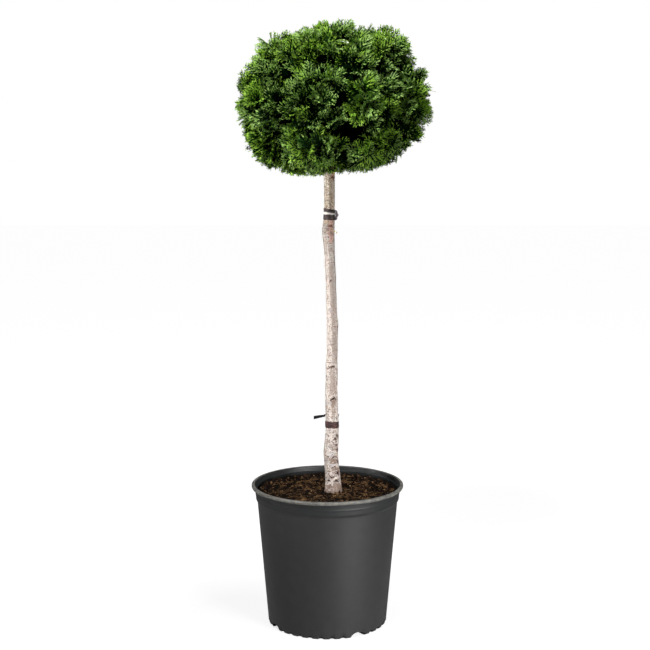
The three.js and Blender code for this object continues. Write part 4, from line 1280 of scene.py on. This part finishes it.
def make_boughs(trunk, places):
    drawn = {"stretch": (1, 1, 2), "bump": 0.0004}
    bark = patterned("bough_bark", [(84, 56, 40), (128, 94, 70)], 120, 0.85, **drawn)
    boughs = Skins()
    for n, place in enumerate(place for place in places if place["foot"]):
        tip = CENTRE + place["direction"] * BOUGH["end"]
        curve = bezier(trunk.at(place["foot"]), tip - place["direction"] * BOUGH["bend"], tip, LIMB_ROWS)
        radii = np.linspace(BOUGH["foot_radius"], BOUGH["tip_radius"], LIMB_ROWS)
        radii[:6] *= np.linspace(1.5, 1, 6)  # the collar where it leaves the trunk
        boughs.add(*limb_with_relief(curve, radii, 12, 200 + 2 * n))
    boughs.piece("bough_bark", [bark], "bough", BOUGH_NODES)
    out = outwards(SIDE_SHOOT["bearing"])
    start = trunk.at(SIDE_SHOOT["z"])
    curve = bezier(start, start + out * 13 + UP * 2, start + out * 14 + UP * 30, LIMB_ROWS)
    radii = np.linspace(SIDE_SHOOT["radius"], 2, LIMB_ROWS)
    radii[4:9] *= 1.25
    young = patterned("shoot_bark", [(150, 104, 78), (204, 164, 134)], 120, 0.8, **drawn)
    add_piece("side_shoot", *limb_with_relief(curve, radii, 14, 290), [young], "bough", BOUGH_NODES)


# -------------------- studio

CAMERA = {"place": (-0.0045, -2.347, 0.860), "pitch_down": 7.4, "lens": 72.0, "sensor": 36.0}
# Soft boxes: degrees round from the front (right is positive), height, distance, the height aimed at,
# size, beam angle and power.
LIGHTS = {
    "high_front": (-26, 2.8, 1.7, 0.85, 0.45, 120, 24.5),
    "left_side": (-66, 0.8, 2.0, 0.58, 0.5, 24, 1.35),
    "right_side": (62, 0.8, 2.0, 0.58, 0.5, 22, 0.25),
    "back_high": (170, 2.3, 2.0, 1.0, 0.8, 18, 1.1),
    "right_low": (40, 0.4, 1.6, 0.1, 0.8, 40, 2.8),
}
AMBIENT = 0.15
FLOOR_HALF, FLOOR_DROP = 14.0, 0.0004
SHADE_AT = (-0.16, 0.02, 0.0)  # the shadow to the left of the pot is the one that shows
# The paper's glow grows away from there: from and to which distance, its least and its most.
PAPER = {"From_Min": 0.1, "From_Max": 0.4, "To_Min": 1.9, "To_Max": 2.35}
PAPER_LIT, PAPER_SHOWN = (0.5, 0.5, 0.5, 1), 0.4
WHITE_LIGHT = (1, 1, 1, 1)


def soft_light(name, turn, height, distance, aim, size, beam, power):
    lamp = bpy.data.lights.new(name, "AREA")
    lamp.shape = "DISK"
    lamp.size = size
    lamp.spread = beam * DEG
    lamp.energy = power
    light = bpy.data.objects.new(name, lamp)
    place = Vector((math.sin(turn * DEG) * distance, -math.cos(turn * DEG) * distance, height))
    light.location = place
    light.rotation_euler = (Vector((0, 0, aim)) - place).to_track_quat("-Z", "Y").to_euler()
    bpy.context.scene.collection.objects.link(light)


def math_node(tree, kind, operation, second=None):
    node = new_node(tree, kind)
    node.operation = operation
    if second is not None:
        node.inputs[1].default_value = second
    return node


def mix_out(tree, share, output, lighting, shown, end):
    """Puts out one shader with another mixed into it by a share."""
    both = new_node(tree, "MixShader")
    wire(tree, share, output, both, 0)
    wire(tree, lighting, 0, both, 1)
    wire(tree, shown, 0, both, 2)
    wire(tree, both, 0, tree.nodes[end], "Surface")


def white_paper():
    """A pale floor that reads as white paper, with soft shadows: it shows lighter than it lights."""
    material = bpy.data.materials.new("paper")
    material.use_nodes = True
    tree = material.node_tree
    tree.nodes.remove(tree.nodes["Principled BSDF"])
    place, glow = new_node(tree, "TexCoord"), new_node(tree, "Emission")
    off = math_node(tree, "VectorMath", "SUBTRACT", SHADE_AT)
    away = math_node(tree, "VectorMath", "LENGTH")
    whiter = new_node(tree, "MapRange", **PAPER)
    wire(tree, place, "Object", off, 0)
    wire(tree, off, "Vector", away, 0)
    wire(tree, away, "Value", whiter, "Value")
    wire(tree, whiter, "Result", glow, "Strength")
    share = math_node(tree, "Math", "MULTIPLY", PAPER_SHOWN)
    wire(tree, new_node(tree, "LightPath"), "Is Camera Ray", share, 0)
    lit = new_node(tree, "BsdfDiffuse", Color=PAPER_LIT)
    mix_out(tree, share, 0, lit, glow, "Material Output")
    return material


def studio_world():
    """White all round where it shows, and dimmer as a light."""
    world = bpy.data.worlds.new("studio")
    world.use_nodes = True
    tree = world.node_tree
    dim = fill_sockets(tree.nodes["Background"], {"Color": WHITE_LIGHT, "Strength": AMBIENT})
    white = new_node(tree, "Background", Color=WHITE_LIGHT)
    mix_out(tree, new_node(tree, "LightPath"), "Is Camera Ray", dim, white, "World Output")
    return world


def make_studio():
    scene = bpy.context.scene
    half = FLOOR_HALF / MM
    corners = [(-half, -half, 0), (half, -half, 0), (half, half, 0), (-half, half, 0)]
    floor = new_object("floor", corners, [(0, 1, 2, 3)])
    floor.data.materials.append(white_paper())
    floor.location.z = -FLOOR_DROP
    scene.world = studio_world()
    scene.view_settings.view_transform = "Standard"
    for name, light in LIGHTS.items():
        soft_light(name, *light)

    lens = bpy.data.cameras.new("camera")
    lens.lens = CAMERA["lens"]
    lens.sensor_width = CAMERA["sensor"]
    lens.clip_end = 100
    camera = bpy.data.objects.new("camera", lens)
    camera.location = CAMERA["place"]
    camera.rotation_euler = ((90 - CAMERA["pitch_down"]) * DEG, 0, 0)
    scene.collection.objects.link(camera)
    scene.camera = camera


# -------------------- the plant

stem = Trunk()
make_pot()
make_soil()
make_trunk(stem)
make_ties(stem)
make_strap(stem)
make_tag(stem)
masses = make_foliage(stem)
make_boughs(stem, masses)
make_studio()

bpy.context.view_layer.update()
